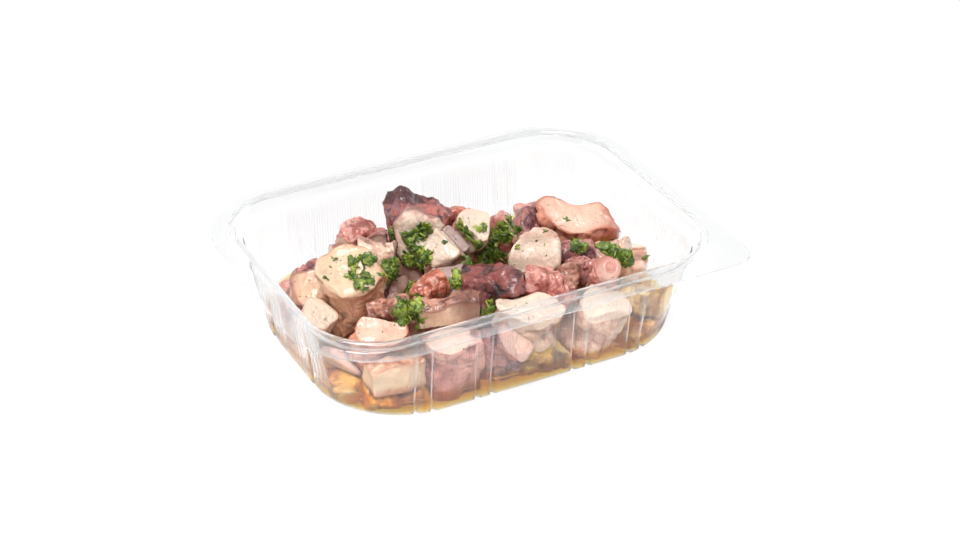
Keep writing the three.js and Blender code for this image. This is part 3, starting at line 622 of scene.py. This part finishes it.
def makePiece(index, name, row):
    kind, x, y, z, length, width, height, yaw, pitch, roll, finish = row
    half = np.array([length, width, height]) / 2
    turn = (Matrix.Rotation(math.radians(yaw), 3, "Z") @ Matrix.Rotation(math.radians(-pitch), 3, "Y")
            @ Matrix.Rotation(math.radians(roll), 3, "X"))

    def lean(salt):
        return heap["cutLean"] * (2 * chance(index, salt) - 1)

    cuts = []
    for side in {"tip": (-1,), "oval": ()}.get(kind, (1, -1)):
        normal = np.array([side, lean(1 + side), lean(4 + side)])
        cuts.append((normal / np.linalg.norm(normal), half[0]))
    if kind in ("half", "oval"):
        cuts.append((np.array([0, lean(6), -1.0]), heap["splitShare"] * half[2]))
    slopes = [(np.array(normal, float), depth) for normal, depth in slopeTable.get(name, ())]
    return {"name": name, "kind": kind, "index": index, "half": half, "turn": np.array(turn),
            "centre": np.array([x, y, z], float), "cuts": cuts, "slopes": slopes, "contacts": [],
            "finish": finish}


def support(piece, direction):
    # how far a piece reaches from its middle before anything presses on it
    local = direction @ piece["turn"]
    hx, ry, rz = piece["half"]
    girth = math.hypot(ry * local[1], rz * local[2])
    split = heap["splitShare"] * rz
    isSplit = piece["kind"] in ("half", "oval")
    if isSplit and local[2] < 0 and girth > 0 and -rz * rz * local[2] / girth > split:
        girth = -split * local[2] + ry * math.sqrt(1 - heap["splitShare"] ** 2) * abs(local[1])
    if piece["kind"] == "tip" and local[0] > 0:
        return math.hypot(hx * local[0], girth)
    if piece["kind"] == "oval":
        dual = heap["ovalPower"] / (heap["ovalPower"] - 1)
        return (abs(hx * local[0]) ** dual + girth ** dual) ** (1 / dual)
    return hx * abs(local[0]) + girth


def ownFrame(piece, points):
    # a point in the piece's own frame, with the bends of a soft piece taken out
    x, y, z = ((points - piece["centre"]) @ piece["turn"]).T
    most = heap["bend"] * 2 * min(piece["half"][1:])
    phase = [2 * math.pi * chance(piece["index"], salt) for salt in range(10, 16)]
    return np.stack([
        x + 0.7 * most * np.sin(0.31 * y + phase[0]) + 0.4 * most * np.sin(0.52 * z + phase[1]),
        y + most * np.sin(0.26 * x + phase[2]) + 0.5 * most * np.sin(0.45 * z + 0.2 * x + phase[3]),
        z + most * np.sin(0.24 * x + phase[4]) + 0.5 * most * np.sin(0.47 * y - 0.2 * x + phase[5]),
    ], axis=-1)


def skinDistance(piece, local):
    # an oval tube whose girth swells and shrinks a little
    hx, ry, rz = piece["half"]
    x, y, z = local[..., 0] / hx, local[..., 1] / ry, local[..., 2] / rz
    phase = [2 * math.pi * chance(piece["index"], salt) for salt in range(3)]
    power = heap["slabPower"] if piece["kind"] == "slab" else heap["armPower"]
    isTip = piece["kind"] == "tip"
    narrow = heap["tipNarrow"] * (x + 1) if isTip else heap["narrow"] * (chance(piece["index"], 9) - 0.3) * x
    taper = np.maximum(1 - narrow, heap["leastTaper"])
    around = np.arctan2(z, y)
    section = (np.abs(y) ** power + np.abs(z) ** power) ** (1 / power)
    girth = heap["girth"]
    swell = (girth["mean"] + girth["twoSided"] * np.sin(2 * around + phase[0] + 0.8 * x)
             + girth["threeSided"] * np.sin(3 * around + phase[1] + 1.5 * x)
             + girth["along"] * np.sin(3.1 * x + phase[2]))
    distance = (section - taper * swell) * min(ry, rz)
    if piece["kind"] == "oval":
        power = heap["ovalPower"]
        distance = ((section ** power + np.abs(x) ** power) ** (1 / power) - swell) * min(ry, rz)
    if isTip:
        cap = (np.hypot(np.maximum(x, 0), 0.9 * section / taper) - 1) * min(hx, ry, rz)
        distance = np.maximum(distance, cap)
    for normal, depth in piece["slopes"]:
        distance = np.maximum(distance, local @ normal - depth)
    return distance


def cutDistance(piece, local):
    return np.max([local @ normal - depth for normal, depth in piece["cuts"]], axis=0)


def contactWave(points):
    # where two pieces press on each other neither stays flat
    x, y, z = points.T
    return heap["contactWave"] * (np.sin(0.33 * x + 0.21 * y) + np.sin(0.29 * y - 0.25 * z + 1)
                                  + np.sin(0.31 * z + 0.17 * x + 2)) / 2


def pieceValue(piece, points):
    # negative inside: the skin, the cuts, what presses on it and the tub bound a piece
    local = ownFrame(piece, points)
    bounds = [skinDistance(piece, local)]
    bounds += [local @ normal - depth for normal, depth in piece["cuts"]]
    wave = contactWave(points)
    bounds += [points @ normal - depth - side * wave for normal, depth, side in piece["contacts"]]
    bounds += [wallDistance(points) + wallDents(points) + heap["wallRoom"],
               tub["sheet"] + heap["contactGap"] - points[..., 2]]
    bounds = np.stack(bounds)
    most = bounds.max(axis=0)
    total = np.exp(heap["edgeSharpness"] * (bounds - most)).sum(axis=0)
    return most + np.log(total) / heap["edgeSharpness"]


def pressTogether(first, second):
    # two pieces that would run into each other share one flat contact, tilted to cost least
    between = second["centre"] - first["centre"]
    straight = between / np.linalg.norm(between)
    best = None
    for trial in range(heap["trials"]):
        sway = np.array([math.sin(trial * 2.4), math.cos(trial * 2.4), math.sin(trial * 1.7)])
        normal = straight + sway * heap["sway"] * trial / heap["trials"]
        normal /= np.linalg.norm(normal)
        apart = between @ normal
        if apart <= 0:
            continue
        near, far = support(first, normal), support(second, -normal)
        if best is None or near + far - apart < best[0]:
            best = (near + far - apart, normal, apart, near, far)
    overlap, normal, apart, near, far = best
    if overlap > heap["touchFrom"]:
        depth = first["centre"] @ normal + apart * near / (near + far)
        first["contacts"].append((normal, depth - heap["contactGap"] / 2, 1))
        second["contacts"].append((-normal, -depth - heap["contactGap"] / 2, -1))


def boxGrid(divisions):
    # a cube from -1 to 1 with gridded faces
    spots, faces = {}, []

    def corner(axis, side, i, j):
        spot = [0, 0, 0]
        spot[axis] = side * divisions
        spot[(axis + 1) % 3] = 2 * i - divisions
        spot[(axis + 2) % 3] = 2 * j - divisions
        return spots.setdefault(tuple(spot), len(spots))

    for axis in range(3):
        for side in (1, -1):
            for i in range(divisions):
                for j in range(divisions):
                    ends = ((i, j), (i + 1, j), (i + 1, j + 1), (i, j + 1))
                    loop = [corner(axis, side, *end) for end in ends]
                    faces.append(tuple(loop if side > 0 else loop[::-1]))
    return np.array(list(spots), float) / divisions, faces


def outward(piece, points):
    # outward directions of the uneven surface
    rise = [pieceValue(piece, points + step) - pieceValue(piece, points - step)
            for step in heap["slopeStep"] * np.eye(3)]
    normals = np.stack(rise, axis=1)
    return normals / np.linalg.norm(normals, axis=1)[:, None]


# single suckers that show: piece, direction in its own frame, radius
suckerTable = (
    ("suckerRing", 1, 0.1, 0.25, 2.9), ("bumpyBack", -0.35, -1, 0.3, 2.8),
    ("bumpyBack", 0.35, -1, 0.45, 2.4), ("mauveBumpy", 0.1, 0.5, 1, 2.6),
    ("bigSlab", 0.62, 1, -0.1, 2.8), ("mauveFront", -0.1, -1, 0.2, 3.2), ("mauveArm", 0.3, -0.3, 1, 2.6),
)
# the rows of suckers on an arm's pale side, as shares of its half girth; on each piece named here
# the pale side lies at its share of a turn
suckerRows = {
    "radius": 0.25, "apart": 0.4, "step": 2.2, "start": 1.1, "shift": 0.5, "endRoom": 0.5,
    "on": {"bumpyBack": 0.95, "mauveBumpy": 0.3, "mauveArm": 0.2, "purpleWhite": 0.55, "pinkChunk": 0.8,
           "smallMauve": 0.3, "lowLeft": 0.7, "backB": 0.2, "innerC": 0.4},
}
# a piece's darker side: direction in its own frame, where it starts and where it is full
stainTable = {
    "bigSlab": ((1, 0.15, 0.1), 0.35, 0.75), "peak": ((-0.6, 0, 0.8), 0.3, 0.7),
    "darkSkin": ((-0.6, 0, -0.5), 0.2, 0.9), "whiteDome": ((0.4, 0, -1), 0.6, 1.1),
    "pinkFront": ((-1.0, -0.5, 0.2), -0.6, 0.1), "beigeEdge": ((1, 0, 0), 0.0, 0.7),
    "mauveArm": ((-1, 0, 0), -0.2, 0.6), "suckerRing": ((1, 0, 0), 0.6, 1.4),
    "slabFront": ((0, 1, 0), 0.3, 0.9),
}
# how uneven a piece is; each noise has a depth, a size and a number of its own
relief = {
    "noises": {"lump": (1.0, 5.2, 0), "ragged": (0.5, 2.2, 30), "wrinkle": (0.25, 1.3, 60),
               "knob": (0.55, 2.6, 75), "fold": (1.0, 3.6, 90), "fibre": (0.18, 1.1, 120),
               "chop": (0.5, 6.0, 150)},
    "lump": 1.1, "fold": 0.8, "foldSharp": 2.4, "dish": 0.3, "cutCrisp": 1.9, "cutWiden": 0.35,
    "lip": 0.35, "lipAt": 0.2, "lipWide": 0.7, "rimWide": 2.2, "pressedFrom": 0.1, "freeFrom": 1.6,
    "suckerMost": 1.3, "suckerRise": 0.4, "openFrom": 2.85, "openSink": 0.2, "closedSink": 0.45,
}


def onSurface(piece, rays):
    def isInside(far):
        return pieceValue(piece, piece["centre"] + rays * far[:, None]) < 0

    most = heap["rayShare"] * np.linalg.norm(piece["half"])
    far = rayReach(isInside, len(rays), most, heap["halvings"])
    return piece["centre"] + rays * far[:, None]


def bellyTurn(piece):
    return 2 * math.pi * suckerRows["on"].get(piece["name"], chance(piece["index"], 5))


def suckerSpots(piece):
    # middles and radii of a piece's suckers
    rays = [((x, y, z), radius) for name, x, y, z, radius in suckerTable if name == piece["name"]]
    hx, ry, rz = piece["half"]
    if piece["name"] in suckerRows["on"]:
        radius = suckerRows["radius"] * min(ry, rz)
        steps = int(2 * (hx - radius) / (radius * suckerRows["step"])) + 1
        for row in (-1, 1):
            turn = bellyTurn(piece) + row * suckerRows["apart"]
            start = suckerRows["start"] + suckerRows["shift"] * (row > 0)
            for step in range(steps):
                x = -hx + radius * start + step * radius * suckerRows["step"]
                if x < hx - suckerRows["endRoom"] * radius:
                    rays.append(((x, ry * math.cos(turn), rz * math.sin(turn)), radius))
    if not rays:
        return np.zeros((0, 3)), np.zeros(0)
    ways = np.array([way for way, _ in rays], float) @ piece["turn"].T
    ways /= np.linalg.norm(ways, axis=1)[:, None]
    return onSurface(piece, ways), np.array([radius for _, radius in rays])


def suckerRelief(piece, points):
    # each sucker is a raised ring round a hollow; the hollow's mask paints shade into it
    rise, cover, hollowShade = np.zeros((3, len(points)))
    for middle, radius in zip(*suckerSpots(piece)):
        far = np.linalg.norm(points - middle, axis=1) / radius
        isOpen = radius >= relief["openFrom"]
        sink = relief["openSink"] if isOpen else relief["closedSink"]
        raised, sunk = 1 - smoothStep(0.7, 1.15, far), 1 - smoothStep(0.15, 0.6, far)
        rise += min(radius, relief["suckerMost"]) * (relief["suckerRise"] * raised - sink * sunk)
        cover = np.maximum(cover, 1 - smoothStep(0.9, 1.15, far))
        ring = 0.6 * np.exp(-((far - 0.6) / 0.1) ** 2) if isOpen else 1 - smoothStep(0.2, 0.6, far)
        hollowShade = np.maximum(hollowShade, ring)
    return rise, cover, hollowShade


def makeOctopus(piece, grid):
    def uneven(kind, points):
        depth, size, number = relief["noises"][kind]
        return depth * latticeNoise(points, size, piece["index"] + number)

    directions, faces = grid
    rays = directions * piece["half"] @ piece["turn"].T
    rays /= np.linalg.norm(rays, axis=1)[:, None]
    points = onSurface(piece, rays)
    normals = outward(piece, points)
    local = ownFrame(piece, points)
    skin, cut = skinDistance(piece, local), cutDistance(piece, local)
    # what is skin and what is a cut face, with a ragged line between them
    edge = cut - skin + relief["cutWiden"] + uneven("ragged", points)
    isCut = 1 / (1 + np.exp(-relief["cutCrisp"] * edge))
    if piece["kind"] == "slab":
        isCut = np.maximum(isCut, 0.9)
    rise, cover, hollowShade = suckerRelief(piece, points)
    # skin has lumps, knobs, wrinkles and folds; a cut face has fibres and is hollow in the middle
    lumps = uneven("lump", points)
    folds = np.abs(uneven("fold", local * [1, 0.5, 0.5]))
    folds = np.maximum(1 - relief["foldSharp"] * folds, 0) ** 2
    skinRise = relief["lump"] * lumps + uneven("wrinkle", points) + uneven("knob", points)
    skinRise -= relief["fold"] * folds
    meat = uneven("fibre", points * [1, 1, 0.5]) + uneven("chop", points)
    meat -= relief["dish"] * smoothStep(0.5, 6.0, -skin)
    isCut = isCut * (1 - cover)
    rise = rise + skinRise * (1 - 0.6 * cover) * (1 - isCut) + meat * isCut
    rise += relief["lip"] * np.exp(-((cut - skin + relief["lipAt"]) / relief["lipWide"]) ** 2)
    # what presses on it keeps a side flat
    wave = contactWave(points)
    room = [depth + side * wave - points @ normal for normal, depth, side in piece["contacts"]]
    room.append(-wallDistance(points) - wallDents(points) - heap["wallRoom"])
    room.append(points[:, 2] - tub["sheet"] - heap["contactGap"])
    pressed = smoothStep(relief["pressedFrom"], relief["freeFrom"], np.min(room, axis=0))
    rise = np.where(rise > 0, rise * pressed, rise)
    points = points + normals * rise[:, None]
    around = np.arctan2(local[:, 2] / piece["half"][2], local[:, 1] / piece["half"][1])
    way, low, high = stainTable.get(piece["name"], ((0, 0, 0), 0.5, 1.0))
    made = addMesh("flesh_" + piece["name"], points, faces, materials["flesh_" + piece["finish"]])
    for name, values in {
        "cut": isCut,
        "rim": np.exp(np.minimum(skin, 0) / relief["rimWide"]),
        "under": smoothStep(0.0, 0.85, np.cos(around - bellyTurn(piece))),
        "sucker": cover,
        "hollowShade": hollowShade,
        "stain": smoothStep(low, high, local / piece["half"] @ np.array(way, float) + 0.15 * lumps),
        # height: low in dips and skin folds; the material paints these darker as shade
        "height": lumps * 0.4 + 0.5 - 0.35 * folds * (1 - isCut),
    }.items():
        addAttribute(made, name, values)
    return made


pieces = [makePiece(order + 1, name, row) for order, (name, row) in enumerate(pieceTable.items())]
for order, first in enumerate(pieces):
    for second in pieces[order + 1:]:
        pressTogether(first, second)
shownGrid, hiddenGrid = boxGrid(heap["shownGrid"]), boxGrid(heap["hiddenGrid"])
octopus = []
for piece in pieces:
    isHidden = piece["name"].startswith(("inner", "low", "back"))
    octopus.append(makeOctopus(piece, hiddenGrid if isHidden else shownGrid))
print("octopus made:", len(octopus), "pieces")

# chopped parsley lies in heaps; each place is x, y, z and a size, and goes to the skin nearest to it
parsley = {
    "seed": 7, "perArea": 0.34, "leastScrap": 2.6, "mostScrap": 6.6, "spread": 0.45, "tilt": 0.6,
    "lift": 0.2, "stack": 1.3, "thickness": 0.12, "curl": 0.1, "crinkle": 0.14, "rings": 3, "turns": 26,
    "body": 0.76, "lobe": 0.18, "tooth": 0.12, "blades": 0.3, "bladeLong": 1.7, "bladeThin": 0.3,
    "heaps": {
        "onLeftChunk": ((-55, -8, 48, 8), (-59, -11, 44, 6), (-58, -18, 43, 8), (-50, -8, 46, 6),
                        (-53, -18, 42, 4), (-53, -14, 44, 4), (-62, 0, 46, 3)),
        "besideLeftChunk": ((-36, -1, 34, 11), (-38, 0, 31, 8), (-35, 0, 36, 7), (-31, 3, 33, 6),
                            (-42, -9, 33, 6), (-34, -11, 33, 9), (-38, -18, 33, 9)),
        "onFrontEdge": ((-45, -32, 38, 8), (-47, -35, 34, 9), (-49, -34, 33, 6), (-43, -39, 38, 8),
                        (-43, -31, 31, 7), (-41, -36, 31, 7), (-39, -31, 37, 5)),
        "atPeakFoot": ((-23, 2, 34, 12), (-25, 5, 34, 8), (-25, -10, 41, 8), (-24, 6, 42, 9),
                       (-18, 5, 44, 9), (-28, 14, 41, 6)),
        "onPaleChunk": ((-4, -4, 48, 6), (-3, -7, 44, 6), (3, -7, 47, 5), (0, -10, 42, 5)),
        "inMiddleGap": ((14, -4, 41, 10), (12, -4, 38, 8), (15, -6, 39, 7), (17, -3, 42, 7),
                        (27, 4, 33, 5), (10, -3, 30, 9), (8, -2, 29, 7), (12, -4, 28, 8),
                        (9, -2, 33, 8), (6, -1, 25, 7)),
        "belowPaleChunk": ((-3, -12, 33, 9), (-10, -19, 38, 8), (-18, -26, 38, 8), (-17, -23, 39, 4),
                           (9, -22, 35, 5)),
        "atRight": ((41, -25, 37, 7), (52, -6, 26, 5), (55, -25, 33, 8), (53, -23, 33, 5),
                    (56, -31, 31, 8), (59, -33, 30, 8), (57, -41, 33, 9), (57, -45, 33, 8)),
        "byFrontSlab": ((-9, -40, 29, 8), (-12, -38, 28, 6), (-7, -39, 26, 5)),
        "singleScraps": ((12, -22, 42, 3), (30, -14, 41, 3), (22, -28, 45, 2), (19, -26, 46, 2),
                         (50, 2, 34, 3), (-17, -11, 47, 3), (-66, -4, 45, 2), (-69, -9, 43, 3),
                         (-47, -14, 41, 4), (82, -22, 18, 3.5)),
    },
}


def leafShape(draw, size):
    # a scrap of a lobed, toothed leaf or a thin blade, curled; both faces and a thin edge
    turns, rings = parsley["turns"], parsley["rings"]
    lobes, phase = draw.choice((3, 3, 5)), draw.uniform(0, 6.3)
    chop = [(draw.uniform(0, 6.3), draw.uniform(0.35, 0.9)) for _ in range(3)]
    curl, fold, way = draw.uniform(0.2, 1.8), draw.uniform(-1.2, 1.2), draw.uniform(0, 6.3)
    isBlade = draw.random() < parsley["blades"]
    long, thin = (parsley["bladeLong"], parsley["bladeThin"]) if isBlade else (1, 1)
    teeth = [draw.uniform(-parsley["tooth"], parsley["tooth"]) for _ in range(turns)]
    rows = []
    for ring in range(1, rings + 1):
        for turn in range(turns):
            angle = 2 * math.pi * turn / turns
            reach = parsley["body"] + parsley["lobe"] * math.cos(lobes * angle + phase) + teeth[turn]
            for toward, most in chop:
                facing = math.cos(angle - toward)
                if facing > 0:
                    reach = min(reach, most / facing)
            far = 0.5 * size * max(reach, 0.2) * ring / rings
            x, y = far * math.cos(angle) * long, far * math.sin(angle) * thin
            bend = x * math.cos(way) + y * math.sin(way)
            rows.append((x, y, -curl * parsley["curl"] * far * far + fold * 0.3 * abs(bend)
                         + parsley["crinkle"] * math.sin(2 * angle + phase) * ring / rings))
    top = np.array([(0, 0, 0)] + rows)
    under = len(top)
    faces = []
    for turn in range(turns):
        after = (turn + 1) % turns
        faces.append((0, 1 + turn, 1 + after))
        faces.append((under, under + 1 + after, under + 1 + turn))
        for ring in range(rings - 1):
            a, b = 1 + ring * turns + turn, 1 + ring * turns + after
            faces.append((a, a + turns, b + turns, b))
            faces.append((under + a, under + b, under + b + turns, under + a + turns))
        a, b = 1 + (rings - 1) * turns + turn, 1 + (rings - 1) * turns + after
        faces.append((a, under + a, under + b, b))
    return np.vstack([top, top - [0, 0, parsley["thickness"]]]), faces


def joinHeap():
    # points and faces of all pieces together
    spots = np.concatenate([readValues(made.data.vertices, "co", 3) / mm for made in octopus])
    faces, start = [], 0
    for made in octopus:
        faces += [tuple(start + corner for corner in face.vertices) for face in made.data.polygons]
        start += len(made.data.vertices)
    return spots, faces


def makeParsley(spots, faces):
    skin = BVHTree.FromPolygons([Vector(spot) for spot in spots], faces)
    draw = random.Random(parsley["seed"])
    allPoints, allFaces, tones, start = [], [], [], 0
    for *place, size in [spot for places in parsley["heaps"].values() for spot in places]:
        middle, facing, _, _ = skin.find_nearest(Vector(place))
        across = facing.orthogonal().normalized()
        along = facing.cross(across)
        for leaf in range(max(1, round(parsley["perArea"] * size * size))):
            far = parsley["spread"] * size * draw.random() ** 0.6 * (leaf > 0)
            way, tilt = draw.uniform(0, 6.3), parsley["tilt"]
            target = middle + across * far * math.cos(way) + along * far * math.sin(way)
            spot, normal, _, _ = skin.find_nearest(target)
            normal = (normal + Vector([draw.uniform(-tilt, tilt) for _ in range(3)])).normalized()
            turn = normal.to_track_quat("Z", "Y").to_matrix() @ Matrix.Rotation(draw.uniform(0, 6.3), 3, "Z")
            most = min(size, draw.uniform(parsley["leastScrap"], parsley["mostScrap"]))
            leafPoints, leafFaces = leafShape(draw, most)
            lift = spot + normal * (parsley["lift"] + parsley["stack"] * draw.random() * min(1, leaf / 6))
            allPoints.append(leafPoints @ np.array(turn).T + np.array(lift))
            allFaces += [tuple(start + corner for corner in face) for face in leafFaces]
            tones += [draw.random() ** 2.2] * len(leafPoints)
            start += len(leafPoints)
    made = addMesh("choppedParsley", np.concatenate(allPoints), allFaces, parsleyGreen)
    addAttribute(made, "tone", tones)
    return made


# tiny scraps of parsley and pepper, strewn on the faces that look up, most of all on cut ones
flecks = {"perSquareCentimetre": 3.6, "least": 0.16, "most": 0.52, "thin": 0.2, "seed": 5, "fromHeight": 22,
          "facingUp": (-0.2, 0.5), "onSkin": 0.25, "patchSize": 9.0}


def fleckGround(spots, faces):
    # all pieces as one mesh, with a share of how well flecks lie there
    normals = np.concatenate([readValues(made.data.vertices, "normal", 3) for made in octopus])
    cut = np.concatenate([readValues(made.data.attributes["cut"].data, "value") for made in octopus])
    facesUp = smoothStep(*flecks["facingUp"], normals[:, 2]) * (spots[:, 2] > flecks["fromHeight"])
    patches = latticeNoise(spots, flecks["patchSize"], 3) * 0.8 + 0.7
    made = addMesh("fleckGround", spots, faces, parsleyGreen)
    shares = facesUp * (flecks["onSkin"] + (1 - flecks["onSkin"]) * cut) * patches
    addAttribute(made, "share", np.clip(shares, 0, 1))
    return made


def fleckTree():
    tree = bpy.data.node_groups.new("strewFlecks", "GeometryNodeTree")
    for name, kind in (("Ground", "Geometry"), ("Density", "Float"), ("Least", "Float"), ("Most", "Float"),
                       ("Radius", "Float"), ("Depth", "Float"), ("Seed", "Int")):
        tree.interface.new_socket(name, in_out="INPUT", socket_type="NodeSocket" + kind)
    tree.interface.new_socket("Flecks", in_out="OUTPUT", socket_type="NodeSocketGeometry")
    w = Wiring(tree)
    given = w.node("NodeGroupInput").outputs
    share = w.node("GeometryNodeInputNamedAttribute", {"Name": "share"}, data_type="FLOAT")
    density = w.math("MULTIPLY", given["Density"], share.outputs["Attribute"])
    values = {"Mesh": given["Ground"], "Density": density, "Seed": given["Seed"]}
    spread = w.node("GeometryNodeDistributePointsOnFaces", values, distribute_method="RANDOM")
    values = {"Vertices": 5, "Radius": given["Radius"], "Depth": given["Depth"]}
    flake = w.node("GeometryNodeMeshCylinder", values, fill_type="NGON")
    values = {0: given["Least"], 1: given["Most"], "Seed": 2}
    stretch = w.node("FunctionNodeRandomValue", values, data_type="FLOAT_VECTOR")
    values = {0: (-0.4, -0.4, 0.0), 1: (0.4, 0.4, 6.28)}
    turn = w.node("FunctionNodeRandomValue", values, data_type="FLOAT_VECTOR")
    values = {0: spread.outputs["Rotation"], 1: turn.outputs[0]}
    turned = w.node("FunctionNodeRotateRotation", values, rotation_space="LOCAL")
    placed = w.node("GeometryNodeInstanceOnPoints", {
        "Points": spread.outputs["Points"], "Instance": flake.outputs["Mesh"],
        "Rotation": turned.outputs[0], "Scale": stretch.outputs[0],
    })
    whole = w.node("GeometryNodeRealizeInstances", {0: placed.outputs[0]})
    painted = w.node("GeometryNodeSetMaterial", {"Geometry": whole.outputs[0], "Material": fleckDark})
    w.node("NodeGroupOutput", {"Flecks": painted.outputs[0]})
    return tree


def strewFlecks(ground):
    tree = fleckTree()
    strewn = ground.modifiers.new("strewFlecks", "NODES")
    strewn.node_group = tree
    sizes = {"Density": flecks["perSquareCentimetre"] * 1e4, "Least": flecks["least"], "Most": flecks["most"],
             "Radius": mm, "Depth": flecks["thin"] * mm, "Seed": flecks["seed"]}
    for socket in tree.interface.items_tree:
        if socket.name in sizes:
            strewn[socket.identifier] = sizes[socket.name]
    bpy.context.view_layer.update()
    shape = ground.evaluated_get(bpy.context.evaluated_depsgraph_get())
    mesh = bpy.data.meshes.new_from_object(shape)
    ground.modifiers.remove(strewn)
    bpy.data.objects.remove(ground)
    return addObject("parsleyFlecks", mesh)


joined = joinHeap()
choppedParsley = makeParsley(*joined)
parsleyFlecks = strewFlecks(fleckGround(*joined))
print("parsley made:", len(choppedParsley.data.polygons), "faces,",
      len(parsleyFlecks.data.polygons), "in flecks")

# every piece stands for its solids and rides on the one body
for piece, made in zip(pieces, octopus):
    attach(made, "root")
    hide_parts("octopus_" + piece["name"])
for scraps in (choppedParsley, parsleyFlecks):
    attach(scraps, "root")
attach(clearTub, "root")
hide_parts("tub")
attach(oilPool, "root")
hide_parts(*[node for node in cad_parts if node.startswith("oil_")])

# camera, lights and floor
view = {
    "place": (-369.55, -707.05, 508.62), "aim": (7.31, 2.0, 20.0), "roll": 0.345, "lens": 81.566,
    "world": (1.0, 1.0, 1.0, 1.0), "worldLit": 0.36, "worldMirrored": 0.58, "bounces": 24,
    "floor": {"seen": 0.12, "glow": 0.86, "bounced": 0.42, "mirrored": 0.45},
    "floorReach": 4000, "floorDrop": 0.05,
}
# place, aim and size in metres, watts
lightTable = {
    "topSoft": ((-0.3, -0.05, 0.95), (0, 0, 0), 0.4, 9.0),
    "frontFill": ((-0.35, -0.75, 0.95), (0, 0, 0.03), 0.45, 5.2),
    "rightSoft": ((0.9, 0.1, 0.6), (0, 0, 0.02), 0.25, 2.0),
}


def lookAt(thing, place, aim, roll=0.0):
    back = Vector(place) - Vector(aim)
    turn = back.to_track_quat("Z", "Y").to_matrix().to_4x4() @ Matrix.Rotation(math.radians(roll), 4, "Z")
    thing.matrix_world = Matrix.Translation(place) @ turn


scene = bpy.context.scene
camera = addObject("camera", bpy.data.cameras.new("camera"))
camera.data.lens = view["lens"]
lookAt(camera, Vector(view["place"]) * mm, Vector(view["aim"]) * mm, view["roll"])
scene.camera = camera

for name, (place, aim, size, watts) in lightTable.items():
    lamp = bpy.data.lights.new(name, "AREA")
    lamp.size = size
    lamp.energy = watts
    lookAt(addObject(name, lamp), place, aim)

world = bpy.data.worlds.new("studio")
world.use_nodes = True
around = Wiring(world)
backdrop = world.node_tree.nodes["Background"]
backdrop.inputs["Color"].default_value = view["world"]
path = around.node("ShaderNodeLightPath").outputs
isSeen = around.math("MAXIMUM", path["Is Camera Ray"], path["Is Transmission Ray"])
more = view["worldMirrored"] - view["worldLit"]
mirrored = around.math("MULTIPLY_ADD", path["Is Glossy Ray"], more, view["worldLit"])
around.link(around.math("MAXIMUM", isSeen, mirrored), backdrop.inputs["Strength"])
scene.world = world
scene.view_settings.view_transform = "Standard"
scene.cycles.max_bounces = view["bounces"]
scene.cycles.transmission_bounces = view["bounces"]
scene.cycles.transparent_max_bounces = view["bounces"]

corners = [(x * view["floorReach"], y * view["floorReach"], -view["floorDrop"])
           for x, y in ((-1, -1), (1, -1), (1, 1), (-1, 1))]
floor = addMesh("floor", corners, [(0, 1, 2, 3)], floorMaterial(view["floor"]), smooth=False)

print("scene ready")
